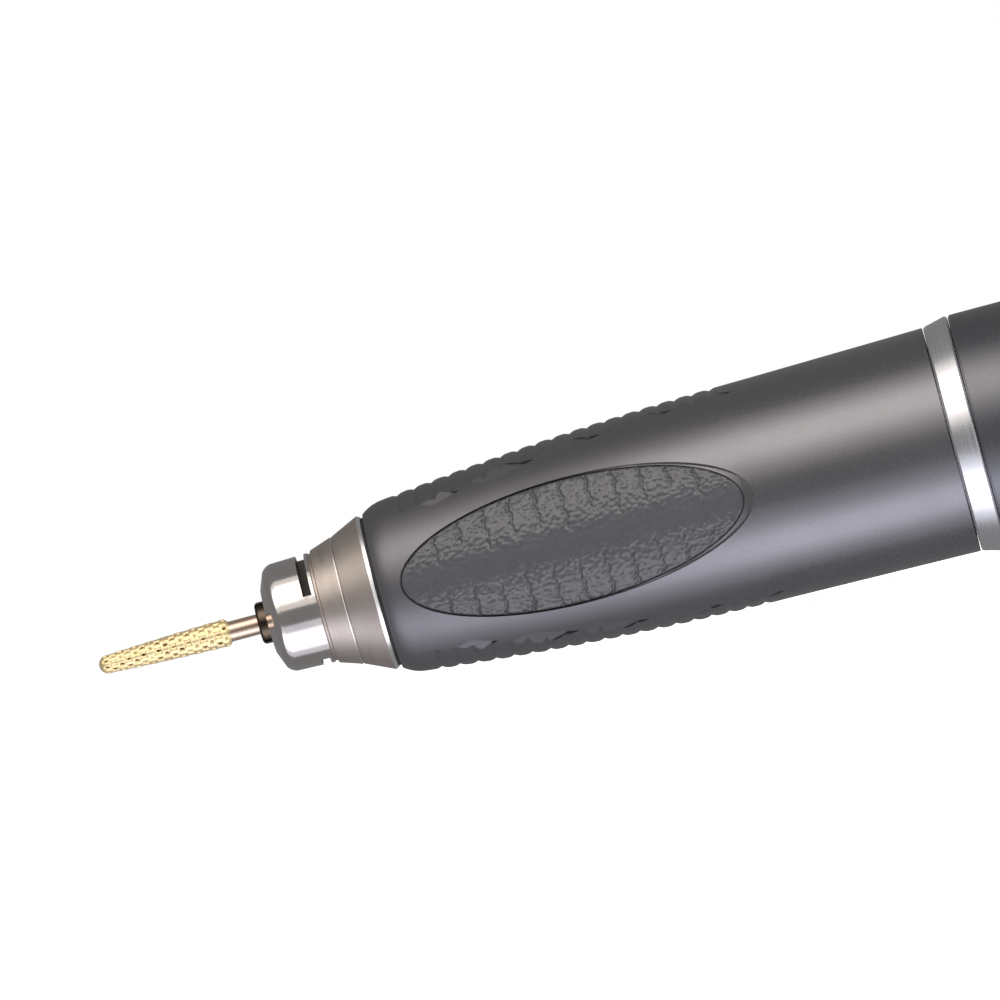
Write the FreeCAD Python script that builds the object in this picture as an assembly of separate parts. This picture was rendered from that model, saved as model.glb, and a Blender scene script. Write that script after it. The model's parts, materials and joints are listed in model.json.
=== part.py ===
import FreeCAD, Part
import math
import os
from FreeCAD import Vector

# Dental laboratory micromotor handpiece, nose towards -X, tail towards +X, top +Z, sizes in millimetres.
# Stations are distances along the spindle axis, counted from the front face of the nose cap.
# Each piece is drawn at its station and then shifted so that the origin lies on the spindle axis,
# at the middle of the plain barrel by which a cradle or a bench clamp holds the handpiece.

# Clearances
seat_gap = 0.02            # between fixed pieces that screw or press together
running_gap = 0.05         # radial, between pieces that turn or slide on each other
cone_gap = 0.02            # collet cone to its seat in the spindle
shank_gap = 0.015          # bur shank in the collet bore

# Bur
shank_diameter = 2.35
bur_length = 44.5
bur_stand_out = 20.2       # tip in front of the nose face
bur_head_length = 15.6
bur_tip_radius = 1.07
bur_head_radius = 1.6
bur_head_bulge = 0.06      # how far the side of the head bows out
bur_flutes = 8
bur_rings = 8
bur_tooth_depth = 0.2
bur_notch_width = 0.36
bur_end_bevel = 0.3

# Collet
collet_stand_out = 1.2     # in front of the nose face
collet_head_radius = 2.45
collet_head_length = 1.8
collet_cone_length = 3.6
collet_stem_radius = 1.85
collet_tail_station = 30.0
collet_slit_width = 0.35
collet_slit_end = 15.0
collet_slits = 3
collet_stop_room = 0.5     # behind the end of the bur shank
collet_floor = 0.8
collet_travel = 1.0

# Drawbar, its pin and the spring that pulls the collet home
drawbar_radius = 1.6
drawbar_thread_radius = 1.0
draw_pin_radius = 0.8
spring_turns = 5
spring_wire_radial = 1.5
spring_wire_axial = 1.1
spring_inner_radius = 3.3
spring_length = 9.0
spring_seat_thickness = 1.0
spring_collar_length = 4.0
spring_collar_radius = 5.0

# Spindle
spindle_front_station = 0.9
spindle_seat_radius = 3.0
spindle_middle_radius = 3.8
spindle_fork_seat_radius = 2.4
spindle_nut_radius = 4.2
spindle_nut_length = 1.75

# Nose cap
nose_hole_gap = 0.2        # round the collet head
nose_face_radius = 3.8
nose_chamfer_radius = 5.62
nose_chamfer_depth = 0.7
nose_barrel_radius = 6.48
nose_barrel_taper = 0.13   # its front end is that much smaller
nose_barrel_start = 1.85
nose_barrel_end = 6.2
nose_bore_gap = 0.3        # round the spindle
cone_front_station = 6.7
cone_front_radius = 6.68
cone_joint_station = 9.4   # fine joint line on the cone
cone_joint_radius = 7.58
cone_rear_station = 12.8
cone_rim_station = 13.2    # the rim between them is a polished bevel
cone_rim_drop = 0.05       # of the rim below the front of the grip
rim_bevel_slope = 0.55     # of the bevels that face the tail
joint_bevel = 0.18         # in front of the joint line
cone_bevel = 0.1           # behind the joint line
wrench_slot_front = 4.8
wrench_slot_width = 1.05
wrench_slot_flat = 4.15    # bottom of the slot from the axis
wrench_slot_turn = 65.0    # degrees from the -Y side towards the top
nose_thread_radius = 6.4
seal_pocket_front = 7.2
seal_pocket_radius = 5.0
dust_seal_length = 2.2

# Spindle bearings, 6 x 12 x 4
bearing_width = 4.0
spindle_bearing_radius = 6.0
front_bearing_station = 12.0
front_bearing_spread = 2.0
rear_bearing_station = 56.0
ball_radius = 0.8
spindle_ball_count = 7
preload_washer_height = 0.9
preload_washer_thickness = 0.4
bearing_clip_thickness = 0.8

# Bearing sleeve behind the cone
sleeve_front_land_drop = 1.15  # below the front of the grip
sleeve_front_land_end = 27.0
sleeve_waist_radius = 7.2
sleeve_waist_bore = 4.8
sleeve_rear_land_length = 4.0

# Grip housing
grip_front_station = 13.6
grip_front_drop = 4.1      # each drop is the step down from the radius at the rear of the grip
grip_round_end = 15.8
grip_round_drop = 3.14
grip_middle_station = 34.5
grip_middle_drop = 1.38
grip_shoulder_station = 58.0
grip_shoulder_drop = 0.44
grip_rear_station = 81.2
grip_waist_step = 1.4      # from the thread of the guide tube to the bore of the grip

# Ribs on the top and the underside of the grip
rib_count = 20
rib_first_station = 16.9
rib_pitch = 2.1
rib_depth = 0.24
rib_rise = 0.03            # of the round crests over the smooth skin, which leaves a land on each rib
rib_field_front = 6.5      # half widths of the ribbed field
rib_field_rear = 4.9

# Leaf-shaped flats along the ribbed fields: station of the front tip, length and turn of the flat's face
# from the side of the grip, in degrees
leaves = [(20.2, 5.0, 43.0), (25.5, 9.0, 49.5), (33.2, 9.4, 53.0), (42.6, 8.6, 55.5), (51.0, 7.4, 57.5)]
leaf_apex_share = 0.36     # where the highest point lies along a leaf
leaf_half_angle = 13.2     # from the middle of the flat's chord to its lower edge, degrees
leaf_height = 1.05
leaf_long_height = 1.5
leaf_reach = 3.0

# Oval pads let into the sides
pad_centre_station = 36.5
pad_half_length = 20.3
pad_half_height = 7.18
pad_pocket_depth = 1.0
pad_edge_gap = 0.08
pad_sink = 0.06
pad_rear_sink = 0.5        # the pad dips towards its rear end
pad_dip_station = 45.0
pad_ledge_width = 0.12      # sunk rim of the pocket
pad_ledge_depth = 0.14
pad_scoop_length = 1.15    # slope from the rear end of the pad up to the skin
pad_groove_pitch = 3.1
pad_groove_width = 0.5
pad_groove_depth = 0.25
pad_groove_count = 12

# Trim ring, lock ring and cam
trim_ring_length = 2.95
trim_ring_gap = 0.15       # shadow line in front of the trim ring
trim_ring_rise = 0.65      # from the grip to the case
case_radius = 13.9
lock_ring_length = 15.8
lock_ring_face_gap = 0.1
lock_ring_front_wall = 2.0
lock_ring_wall = 2.3
edge_chamfer = 0.25
cam_ring_length = 11.95
cam_angle = 60.0           # twist of the lock ring, degrees
push_travel = 1.28
cam_pin_radius = 1.2
cam_pin_station = 91.0
cam_slot_gap = 0.06        # round the pin at the ends of its slots
cam_slot_side_gap = 0.04   # along the helical walls
cam_ring_wall = 1.93
guide_wall = 1.5
guide_thread_step = 0.85
guide_thread_length = 11.2
push_sleeve_bore = 4.8
push_sleeve_lip = 1.2
push_sleeve_taper = 3.0
push_sleeve_rest_gap = 0.3 # to the spring collar while the collet is closed
push_sleeve_end = 95.5

# Drive coupling between spindle and rotor
coupling_radius = 4.3
coupling_hub_length = 3.5
coupling_lug_length = 4.0
coupling_lug_span = 70.0   # degrees
coupling_face_gap = 0.3
coupling_hub_front = 76.5

# Motor
motor_front_station = 100.35
case_wall = 2.68
motor_bearing_radius = 5.0
motor_shaft_radius = 2.0
motor_bearing_front = 98.0
motor_ball_count = 6
end_bell_skin = 1.0
end_bell_room = 0.5        # between the front end bell and the coils
rotor_core_radius = 2.6
magnet_step = 5.22         # from the magnet to the bore of the case
magnet_sleeve_thickness = 0.3
magnet_overlap = 0.5       # how far the magnet stands out of the stator at each end
balance_ring_length = 1.5
air_gap = 0.5
stator_front = 107.0
stator_length = 22.0
stator_back = 1.6
stator_teeth = 6
stator_tooth_width = 2.6
stator_shoe = 0.7
stator_slot_mouth = 1.6
coil_side = 1.9
coil_end = 1.9
coil_gap = 0.1
rear_bell_length = 6.0
lead_window_radius = 1.6
board_thickness = 0.8
board_rim = 2.0            # from the board to the bore of the case
board_hole = 3.4
sensor_room = 0.4          # between coils and sensors
sensor_size = 1.8
sensor_height = 1.0
sensor_circle = 4.7
sensor_count = 3

# Rear cap and the socket of the cord
case_tail_length = 9.8     # case behind the front of the rear end bell
rear_cap_length = 13.0
rear_cap_step = 0.1
rear_cap_barrel = 3.0
rear_cap_end_drop = 3.6
rear_cap_wall = 1.7
rear_cap_floor = 2.0       # behind the rear edge of the case
socket_bore = 5.0
socket_wall = 1.2
socket_stand_out = 0.5
socket_depth = 7.0
insulator_seat = 5.3
socket_flange_radius = 7.5
socket_flange_length = 1.4
insulator_thickness = 3.5
contact_count = 5
contact_radius = 0.7
contact_bore = 0.4
contact_circle = 2.8
contact_tail = 2.0

# Values that follow from the sizes above
shank_radius = shank_diameter / 2
bur_tip_station = -bur_stand_out
bur_head_end = bur_tip_station + bur_head_length
bur_end_station = bur_tip_station + bur_length
collet_bore = shank_radius + shank_gap
collet_face_station = -collet_stand_out
collet_cone_station = collet_face_station + collet_head_length
collet_cone_end = collet_cone_station + collet_cone_length
cone_slope = (cone_joint_radius - cone_front_radius) / (cone_joint_station - cone_front_station)
collet_slope = (collet_head_radius - collet_stem_radius) / collet_cone_length
front_bearing_end = front_bearing_station + 2 * bearing_width + front_bearing_spread
sleeve_step_station = front_bearing_end + preload_washer_height
spring_seat_station = rear_bearing_station + bearing_width
spring_station = spring_seat_station + spring_seat_thickness
spring_collar_station = spring_station + spring_length
spring_collar_end = spring_collar_station + spring_collar_length
draw_pin_station = spring_collar_station + spring_collar_length / 2
push_sleeve_station = spring_collar_end + push_sleeve_rest_gap
sleeve_end_station = spring_seat_station + bearing_clip_thickness + seat_gap
grip_rear_radius = case_radius - trim_ring_rise
grip_front_radius = grip_rear_radius - grip_front_drop
grip_round_radius = grip_rear_radius - grip_round_drop
grip_middle_radius = grip_rear_radius - grip_middle_drop
grip_shoulder_radius = grip_rear_radius - grip_shoulder_drop
cone_rim_radius = grip_front_radius - cone_rim_drop
sleeve_front_land_radius = grip_front_radius - sleeve_front_land_drop
lock_ring_bore = case_radius - lock_ring_wall
cam_ring_radius = lock_ring_bore - seat_gap
cam_ring_bore = cam_ring_radius - cam_ring_wall
guide_tube_radius = cam_ring_bore - 2 * running_gap
guide_bore_radius = guide_tube_radius - guide_wall
guide_thread_radius = guide_tube_radius + guide_thread_step
grip_waist_bore = guide_thread_radius - grip_waist_step
sleeve_rear_land_radius = grip_waist_bore - seat_gap
motor_bore = case_radius - case_wall
magnet_radius = motor_bore - magnet_step
end_bell_hub_radius = guide_bore_radius - running_gap
trim_ring_station = grip_rear_station + trim_ring_gap
trim_ring_end = trim_ring_station + trim_ring_length
lock_ring_station = trim_ring_end + lock_ring_face_gap
lock_ring_end = lock_ring_station + lock_ring_length
guide_thread_station = grip_rear_station - guide_thread_length
guide_tube_end = motor_front_station + 2.2
cam_ring_station = lock_ring_station + lock_ring_front_wall + seat_gap
coupling_hub_end = coupling_hub_front + coupling_hub_length
claw_station = coupling_hub_end + coupling_lug_length + coupling_face_gap
stator_end = stator_front + stator_length
magnet_front = stator_front - magnet_overlap
magnet_end = stator_end + magnet_overlap
coil_reach = coil_gap + coil_end
end_bell_rear = stator_front - coil_reach - end_bell_room
rear_bell_front = stator_end + coil_reach + sensor_room + sensor_height + board_thickness
motor_bearing_rear = rear_bell_front + end_bell_skin
motor_rear_station = rear_bell_front + case_tail_length
rear_cap_station = motor_rear_station + rear_cap_length
rear_cap_radius = case_radius - rear_cap_step
rear_cap_end_radius = rear_cap_radius - rear_cap_end_drop
rear_cap_floor_station = motor_rear_station + rear_cap_floor
stator_inner = magnet_radius + magnet_sleeve_thickness + air_gap
stator_radius = motor_bore - seat_gap
stator_back_radius = stator_radius - stator_back
motor_bearing_front_end = motor_bearing_front + bearing_width
socket_end_station = rear_cap_station + socket_stand_out
insulator_face = socket_end_station - socket_depth
insulator_back = insulator_face - insulator_thickness
origin_station = (motor_front_station + motor_rear_station) / 2

AXIS = Vector(1, 0, 0)
ZERO = Vector(0, 0, 0)


def spot(place):
    station, radius = place
    return Vector(station, radius, 0)


def outline_wire(outline):
    """A closed wire from points. A pair of points is an arc: one that it passes, then its end."""
    edges = []
    here = outline[0]
    for step in outline[1:] + outline[:1]:
        if isinstance(step[0], tuple):
            via, there = step
            edges.append(Part.Arc(spot(here), spot(via), spot(there)).toShape())
        else:
            there = step
            if there != here:
                edges.append(Part.LineSegment(spot(here), spot(there)).toShape())
        here = there
    return Part.Wire(edges)


def turned(*outline, span=360.0):
    """A lathe piece: the outline of stations and radii, turned about the spindle axis."""
    face = Part.Face(outline_wire(list(outline)))
    return face.revolve(ZERO, AXIS, span)


def tube(front, rear, bore, radius):
    return turned((front, bore), (rear, bore), (rear, radius), (front, radius))


def rod(front, rear, radius):
    return Part.makeCylinder(radius, rear - front, Vector(front, 0, 0), AXIS)


def ring_with_edges(front, rear, bore, radius, bevel):
    """A tube whose two outer edges are bevelled."""
    return turned((front, bore), (rear, bore), (rear, radius - bevel), (rear - bevel, radius),
                  (front + bevel, radius), (front, radius - bevel))


def turned_about_axis(shape, degrees):
    copy = shape.copy()
    copy.rotate(ZERO, AXIS, degrees)
    return copy


def around(shape, count, first=0.0):
    """Copies of a shape, evenly spaced round the spindle axis."""
    return [turned_about_axis(shape, first + k * 360.0 / count) for k in range(count)]


def radial_pin(station, inner, outer, radius):
    """A cylinder that stands on the axis, towards the top."""
    return Part.makeCylinder(radius, outer - inner, Vector(station, 0, inner), Vector(0, 0, 1))


def along_spindle(shape):
    """Lays a shape built round the Z axis along the spindle axis, with its X side up."""
    laid = shape.copy()
    laid.rotate(ZERO, Vector(0, 0, 1), 180)
    laid.rotate(ZERO, Vector(0, 1, 0), 90)
    return laid


def helical_bar(lead, length, bore, radius, width):
    """A bar of rectangular section that winds about the spindle axis, its start on the top side."""
    middle = (bore + radius) / 2
    path = Part.Wire(Part.makeHelix(lead, length, middle).Edges)
    corners = [Vector(bore, 0, -width / 2), Vector(radius, 0, -width / 2),
               Vector(radius, 0, width / 2), Vector(bore, 0, width / 2)]
    section = Part.makePolygon(corners + corners[:1])
    return along_spindle(path.makePipeShell([section], True, True))


def pierced(body, *cuts):
    return body.cut(list(cuts))


# Bur and collet
def bur():
    """Cross-cut carbide bur with a round-ended conical head on a standard handpiece shank."""
    round_end = bur_tip_station + bur_tip_radius
    cap = (bur_tip_station + bur_tip_radius * (1 - math.sqrt(0.5)), bur_tip_radius * math.sqrt(0.5))
    neck = bur_head_radius - shank_radius
    side_end = bur_head_end - neck
    pitch = (side_end - round_end) / bur_rings
    outline = [(bur_tip_station, 0), (cap, (round_end, bur_tip_radius))]
    for k in range(bur_rings):
        notch = round_end + (k + 0.5) * pitch
        for shift, depth in ((-0.5, 0), (0, bur_tooth_depth), (0.5, 0)):
            station = notch + shift * bur_notch_width
            outline.append((station, bur_radius(station, round_end, side_end) - depth))
    outline += [(side_end, bur_head_radius), (bur_head_end, shank_radius),
                (bur_end_station - bur_end_bevel, shank_radius),
                (bur_end_station, shank_radius - bur_end_bevel), (bur_end_station, 0)]
    return pierced(turned(*outline), *around(bur_flute(round_end, side_end), bur_flutes))


def bur_radius(station, front, rear):
    """Radius of the bowed cone of the bur's head."""
    share = (station - front) / (rear - front)
    straight = bur_tip_radius + share * (bur_head_radius - bur_tip_radius)
    return straight + bur_head_bulge * 4 * share * (1 - share)


def bur_flute(front, rear):
    """V-shaped groove along the top of the bur's head, as deep at both ends."""
    reach = 2 * bur_tooth_depth
    width = bur_notch_width * reach / bur_tooth_depth
    sections = []
    for station, radius in ((front - bur_tip_radius / 2, bur_tip_radius), (rear, bur_head_radius)):
        low = radius - bur_tooth_depth
        corners = [Vector(station, 0, low), Vector(station, width / 2, low + reach),
                   Vector(station, -width / 2, low + reach)]
        sections.append(Part.makePolygon(corners + corners[:1]))
    return Part.makeLoft(sections, True, True)


def collet():
    """Spring collet: round head, closing cone, slit stem and a threaded tail."""
    bore_end = bur_end_station + collet_stop_room
    edge = 0.45
    body = turned((collet_face_station, collet_bore),
                  (collet_face_station, collet_head_radius - edge),
                  ((collet_face_station + edge * (1 - math.sqrt(0.5)),
                    collet_head_radius - edge * (1 - math.sqrt(0.5))),
                   (collet_face_station + edge, collet_head_radius)),
                  (collet_cone_station, collet_head_radius),
                  (collet_cone_end, collet_stem_radius),
                  (collet_tail_station, collet_stem_radius),
                  (collet_tail_station, drawbar_thread_radius + seat_gap),
                  (bore_end + collet_floor, drawbar_thread_radius + seat_gap),
                  (bore_end + collet_floor, 0),
                  (bore_end, 0),
                  (bore_end, collet_bore))
    slit_length = collet_slit_end - collet_face_station
    slit = Part.makeBox(slit_length, collet_slit_width, collet_head_radius * 2,
                        Vector(collet_face_station, -collet_slit_width / 2, 0))
    return pierced(body, *around(slit, collet_slits, first=30.0))


def drawbar():
    """Rod that joins the collet's tail to the draw pin."""
    front = bur_end_station + collet_stop_room + collet_floor + seat_gap * 10
    step = collet_tail_station + seat_gap
    rear = draw_pin_station + 2 * draw_pin_radius
    body = turned((front, 0), (front, drawbar_thread_radius), (step, drawbar_thread_radius),
                  (step, drawbar_radius), (rear, drawbar_radius), (rear, 0))
    hole = radial_pin(draw_pin_station, -drawbar_radius * 2, drawbar_radius * 2, draw_pin_radius + seat_gap)
    return body.cut(hole)


def draw_pin():
    """Cross pin through drawbar, spindle slots and spring collar."""
    reach = spring_collar_radius - 0.2
    return radial_pin(draw_pin_station, -reach, reach, draw_pin_radius)


def spring_collar():
    """Ring on the spindle that the spring pushes back and the push sleeve pushes forward."""
    body = ring_with_edges(spring_collar_station, spring_collar_end, spindle_seat_radius + running_gap,
                           spring_collar_radius, edge_chamfer)
    reach = spring_collar_radius * 2
    return body.cut(radial_pin(draw_pin_station, -reach, reach, draw_pin_radius + seat_gap))


def collet_spring():
    """Coil of rectangular wire with ground ends."""
    lead = spring_length / spring_turns
    overrun = spring_wire_axial / 2
    outer = spring_inner_radius + spring_wire_radial
    coil = helical_bar(lead, spring_length + 2 * overrun, spring_inner_radius, outer, spring_wire_axial)
    coil.translate(Vector(spring_station - overrun, 0, 0))
    room = rod(spring_station + seat_gap, spring_collar_station - seat_gap, outer * 1.2)
    return coil.common(room)


def spring_seat():
    """Washer between the inner ring of the rear bearing and the spring."""
    return tube(spring_seat_station + seat_gap, spring_station - seat_gap, spindle_seat_radius + seat_gap,
                spring_inner_radius + spring_wire_radial * 0.85)


# Spindle and its bearings
def spindle():
    """Hollow spindle: collet seat in front, bearing seats, slots for the draw pin and a fork seat."""
    seat_front = collet_head_radius + cone_gap - collet_slope * (spindle_front_station - collet_cone_station)
    stem_bore = collet_stem_radius + running_gap
    rod_bore = drawbar_radius + running_gap
    step = collet_tail_station + 2.0
    body = turned((spindle_front_station, seat_front),
                  (collet_cone_end, collet_stem_radius + cone_gap),
                  (collet_cone_end, stem_bore),
                  (step, stem_bore),
                  (step, rod_bore),
                  (coupling_hub_end, rod_bore),
                  (coupling_hub_end, spindle_fork_seat_radius),
                  (coupling_hub_front, spindle_fork_seat_radius),
                  (coupling_hub_front, spindle_seat_radius),
                  (rear_bearing_station - seat_gap, spindle_seat_radius),
                  (rear_bearing_station - seat_gap, spindle_middle_radius),
                  (front_bearing_end + seat_gap, spindle_middle_radius),
                  (front_bearing_end + seat_gap, spindle_seat_radius),
                  (spindle_front_station + edge_chamfer, spindle_seat_radius),
                  (spindle_front_station, spindle_seat_radius - edge_chamfer))
    slot_radius = draw_pin_radius + running_gap
    slot_front = draw_pin_station - collet_travel
    reach = spindle_seat_radius * 2
    slot = Part.makeBox(collet_travel, 2 * slot_radius, 2 * reach, Vector(slot_front, -slot_radius, -reach))
    ends = [radial_pin(station, -reach, reach, slot_radius) for station in (slot_front, draw_pin_station)]
    return pierced(body, slot, *ends)


def spindle_nut():
    """Slotted nut that clamps the front inner rings."""
    front = front_bearing_station - spindle_nut_length
    nut = tube(front, front_bearing_station - seat_gap, spindle_seat_radius + seat_gap, spindle_nut_radius)
    slot = Part.makeBox(spindle_nut_length * 0.5, 1.0, spindle_nut_radius * 4,
                        Vector(front, -0.5, -spindle_nut_radius * 2))
    return nut.cut(slot)


def bearing_rings(front, bore, radius):
    """Inner and outer ring with their ball grooves."""
    pitch = (bore + radius) / 2
    land = 0.55
    middle = front + bearing_width / 2
    groove = ball_radius + seat_gap
    track = turned((middle - groove, pitch), ((middle, pitch + groove), (middle + groove, pitch)),
                   ((middle, pitch - groove), (middle - groove, pitch)))
    inner = tube(front, front + bearing_width, bore + seat_gap / 2, pitch - land).cut(track)
    outer = tube(front, front + bearing_width, pitch + land, radius - seat_gap / 2).cut(track)
    return inner, outer


def bearing_balls(front, bore, radius, count):
    pitch = (bore + radius) / 2
    ball = Part.makeSphere(ball_radius, Vector(front + bearing_width / 2, 0, pitch))
    return around(ball, count)


def bearing_cage(front, bore, radius, count):
    """Ribbon between the rings with a pocket for each ball."""
    pitch = (bore + radius) / 2
    half_width = ball_radius + 0.45
    middle = front + bearing_width / 2
    ribbon = tube(middle - half_width, middle + half_width, pitch - 0.25, pitch + 0.25)
    pocket = radial_pin(middle, pitch - 1.0, pitch + 1.0, ball_radius + running_gap)
    return pierced(ribbon, *around(pocket, count))


front_bearing_places = [front_bearing_station, front_bearing_station + bearing_width + front_bearing_spread]
motor_bearing_places = [motor_bearing_front, motor_bearing_rear]
spindle_bearing = (spindle_seat_radius, spindle_bearing_radius)
motor_bearing = (motor_shaft_radius, motor_bearing_radius)


def inner_rings(places, size):
    return Part.makeCompound([bearing_rings(front, *size)[0] for front in places])


def outer_rings(places, size):
    return Part.makeCompound([bearing_rings(front, *size)[1] for front in places])


def ball_sets(places, size, count):
    return Part.makeCompound([ball for front in places for ball in bearing_balls(front, *size, count)])


def cages(places, size, count):
    return Part.makeCompound([bearing_cage(front, *size, count) for front in places])


def inner_spacer():
    front = front_bearing_station + bearing_width
    return tube(front + seat_gap, front + front_bearing_spread - seat_gap, spindle_seat_radius + seat_gap,
                spindle_middle_radius)


def outer_spacer():
    front = front_bearing_station + bearing_width
    return tube(front + seat_gap, front + front_bearing_spread - seat_gap, spindle_bearing_radius - 0.7,
                spindle_bearing_radius - seat_gap)


def preload_washer():
    """Disc spring behind the front bearings."""
    front = front_bearing_end + seat_gap
    rear = sleeve_step_station - seat_gap
    outer = spindle_bearing_radius - 2 * seat_gap
    inner = outer - 0.8
    edge = 0.1
    return turned((front, outer), (front, outer - edge), (rear - preload_washer_thickness, inner),
                  (rear, inner), (rear, inner + edge), (front + preload_washer_thickness, outer))


def bearing_clip():
    """Open ring that holds the rear bearing in the sleeve."""
    front = spring_seat_station + seat_gap
    ring = tube(front, front + bearing_clip_thickness - 2 * seat_gap, spindle_bearing_radius - 0.75,
                spindle_bearing_radius - seat_gap)
    gap = Part.makeBox(bearing_clip_thickness * 3, 2.0, spindle_bearing_radius * 2,
                       Vector(front - bearing_clip_thickness, -1.0, -spindle_bearing_radius * 2))
    return ring.cut(gap)


def spindle_fork():
    """Driven half of the coupling, pressed on the spindle's end."""
    return coupling_half(coupling_hub_front, coupling_hub_end, spindle_fork_seat_radius, 1, 0.0)


def drive_claw():
    """Driving half of the coupling, on the rotor shaft, a quarter turn from the fork."""
    return coupling_half(claw_station, claw_station + coupling_hub_length, motor_shaft_radius, -1, 90.0)


def coupling_half(hub_front, hub_rear, bore, side, turn):
    inner = bore + seat_gap
    hub = tube(hub_front, hub_rear, inner, coupling_radius)
    root = hub_rear if side > 0 else hub_front - coupling_lug_length
    tip = root + coupling_lug_length
    lug = turned((root, inner), (tip, inner), (tip, coupling_radius), (root, coupling_radius),
                 span=coupling_lug_span)
    lug = turned_about_axis(lug, turn - coupling_lug_span / 2)
    return hub.fuse(around(lug, 2)).removeSplitter()


# Nose
def wrench_slot():
    """One of the two chord-shaped slots for a pin wrench."""
    size = nose_barrel_radius * 2
    block = Part.makeBox(wrench_slot_width, size, size,
                         Vector(wrench_slot_front, -size - wrench_slot_flat, -size / 2))
    return turned_about_axis(block, -wrench_slot_turn)


def nose_cap():
    """Steel cap: chamfered face, barrel with wrench slots and the front of the cone."""
    hole = collet_head_radius + nose_hole_gap
    bore = spindle_seat_radius + nose_bore_gap
    spigot_end = front_bearing_station - seat_gap
    barrel_front = nose_barrel_radius - nose_barrel_taper
    barrel_via = (nose_chamfer_depth + 0.45, barrel_front - 0.27)
    bevel_radius = cone_joint_radius - joint_bevel * cone_slope
    body = turned((0, hole), (0, nose_face_radius),
                  (nose_chamfer_depth, nose_chamfer_radius),
                  (barrel_via, (nose_barrel_start, barrel_front)),
                  (nose_barrel_end, nose_barrel_radius),
                  (nose_barrel_end + 0.15, nose_barrel_radius - 0.15),
                  (cone_front_station - 0.15, nose_barrel_radius - 0.15),
                  (cone_front_station, cone_front_radius),
                  (cone_joint_station - joint_bevel, bevel_radius),
                  (cone_joint_station - seat_gap, bevel_radius - joint_bevel * rim_bevel_slope),
                  (cone_joint_station - seat_gap, nose_thread_radius),
                  (spigot_end, nose_thread_radius),
                  (spigot_end, seal_pocket_radius),
                  (seal_pocket_front, seal_pocket_radius),
                  (seal_pocket_front, bore),
                  (spindle_front_station - 0.15, bore),
                  (spindle_front_station - 0.15, hole))
    return pierced(body, *around(wrench_slot(), 2))


def dust_seal():
    """Lip ring round the spindle."""
    front = seal_pocket_front + seat_gap
    rear = front + dust_seal_length
    lip = spindle_seat_radius + 0.08
    return turned((front, lip + 0.5), (front + 0.5, lip), (rear - 0.3, lip), (rear, lip + 0.6),
                  (rear, seal_pocket_radius - seat_gap), (front, seal_pocket_radius - seat_gap))


def bearing_sleeve():
    """Steel cone and the cartridge tube that carries the spindle bearings inside the grip."""
    bearing_bore = spindle_bearing_radius + seat_gap / 2
    rear_seat = rear_bearing_station - seat_gap
    rear_land = sleeve_end_station - sleeve_rear_land_length
    rim_drop = (cone_rim_station - cone_rear_station) * rim_bevel_slope
    return turned((cone_joint_station, nose_thread_radius + seat_gap),
                  (cone_joint_station, cone_joint_radius - cone_bevel),
                  (cone_joint_station + cone_bevel, cone_joint_radius),
                  (cone_rear_station, cone_rim_radius),
                  (cone_rim_station, cone_rim_radius - rim_drop),
                  (cone_rim_station, sleeve_front_land_radius),
                  (sleeve_front_land_end, sleeve_front_land_radius),
                  (sleeve_front_land_end, sleeve_waist_radius),
                  (rear_land, sleeve_waist_radius),
                  (rear_land, sleeve_rear_land_radius),
                  (sleeve_end_station, sleeve_rear_land_radius),
                  (sleeve_end_station, bearing_bore),
                  (rear_seat, bearing_bore),
                  (rear_seat, sleeve_waist_bore),
                  (sleeve_step_station, sleeve_waist_bore),
                  (sleeve_step_station, bearing_bore),
                  (front_bearing_station - seat_gap / 2, bearing_bore),
                  (front_bearing_station - seat_gap / 2, nose_thread_radius + seat_gap))


# Grip
def grip_outline(inset):
    """Outer line of the grip from front to rear, set in by a constant amount."""
    blend = (0.45 * grip_front_station + 0.55 * grip_round_end,
             0.28 * grip_front_radius + 0.72 * grip_round_radius - inset)
    shoulder = (grip_shoulder_station, grip_shoulder_radius - inset)
    return [(grip_front_station, grip_front_radius - inset),
            (blend, (grip_round_end, grip_round_radius - inset)),
            ((grip_middle_station, grip_middle_radius - inset), shoulder),
            (grip_rear_station, grip_rear_radius - inset)]


def grip_radius(station):
    """Radius of the smooth grip at a station between the front rounding and the shoulder."""
    ends = [(grip_round_end, grip_round_radius), (grip_middle_station, grip_middle_radius),
            (grip_shoulder_station, grip_shoulder_radius)]
    arc = Part.Arc(*[spot(end) for end in ends]).toShape().Curve
    centre = arc.Center
    return centre.y + math.sqrt(arc.Radius ** 2 - (station - centre.x) ** 2)


def oval(half_length, half_height):
    """Upright oval prism through both sides of the grip."""
    reach = case_radius * 1.5
    ellipse = Part.Ellipse(ZERO, half_length, half_height).toShape()
    prism = Part.Face(Part.Wire(ellipse)).extrude(Vector(0, 0, 2 * reach))
    prism.rotate(ZERO, AXIS, 90)
    prism.translate(Vector(pad_centre_station, reach, 0))
    return prism


def ribbed_body():
    """Body of revolution whose outer line is a row of round-topped ribs, from the first crest to the last."""
    crests = [rib_first_station + k * rib_pitch for k in range(rib_count)]
    outline = [(crests[0], 0), (crests[0], grip_radius(crests[0]) + rib_rise)]
    for crest in crests[1:]:
        valley = crest - rib_pitch / 2
        for side in (-1, 1):
            shoulder = valley + side * rib_pitch / 4
            top = valley + side * rib_pitch / 2
            ends = [(shoulder, grip_radius(shoulder) + rib_rise - (rib_depth + rib_rise) / 4),
                    (valley, grip_radius(valley) - rib_depth),
                    (top, grip_radius(top) + rib_rise)]
            outline.append((ends[0], ends[1] if side < 0 else ends[2]))
    outline.append((crests[-1], 0))
    return turned(*outline)


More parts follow.
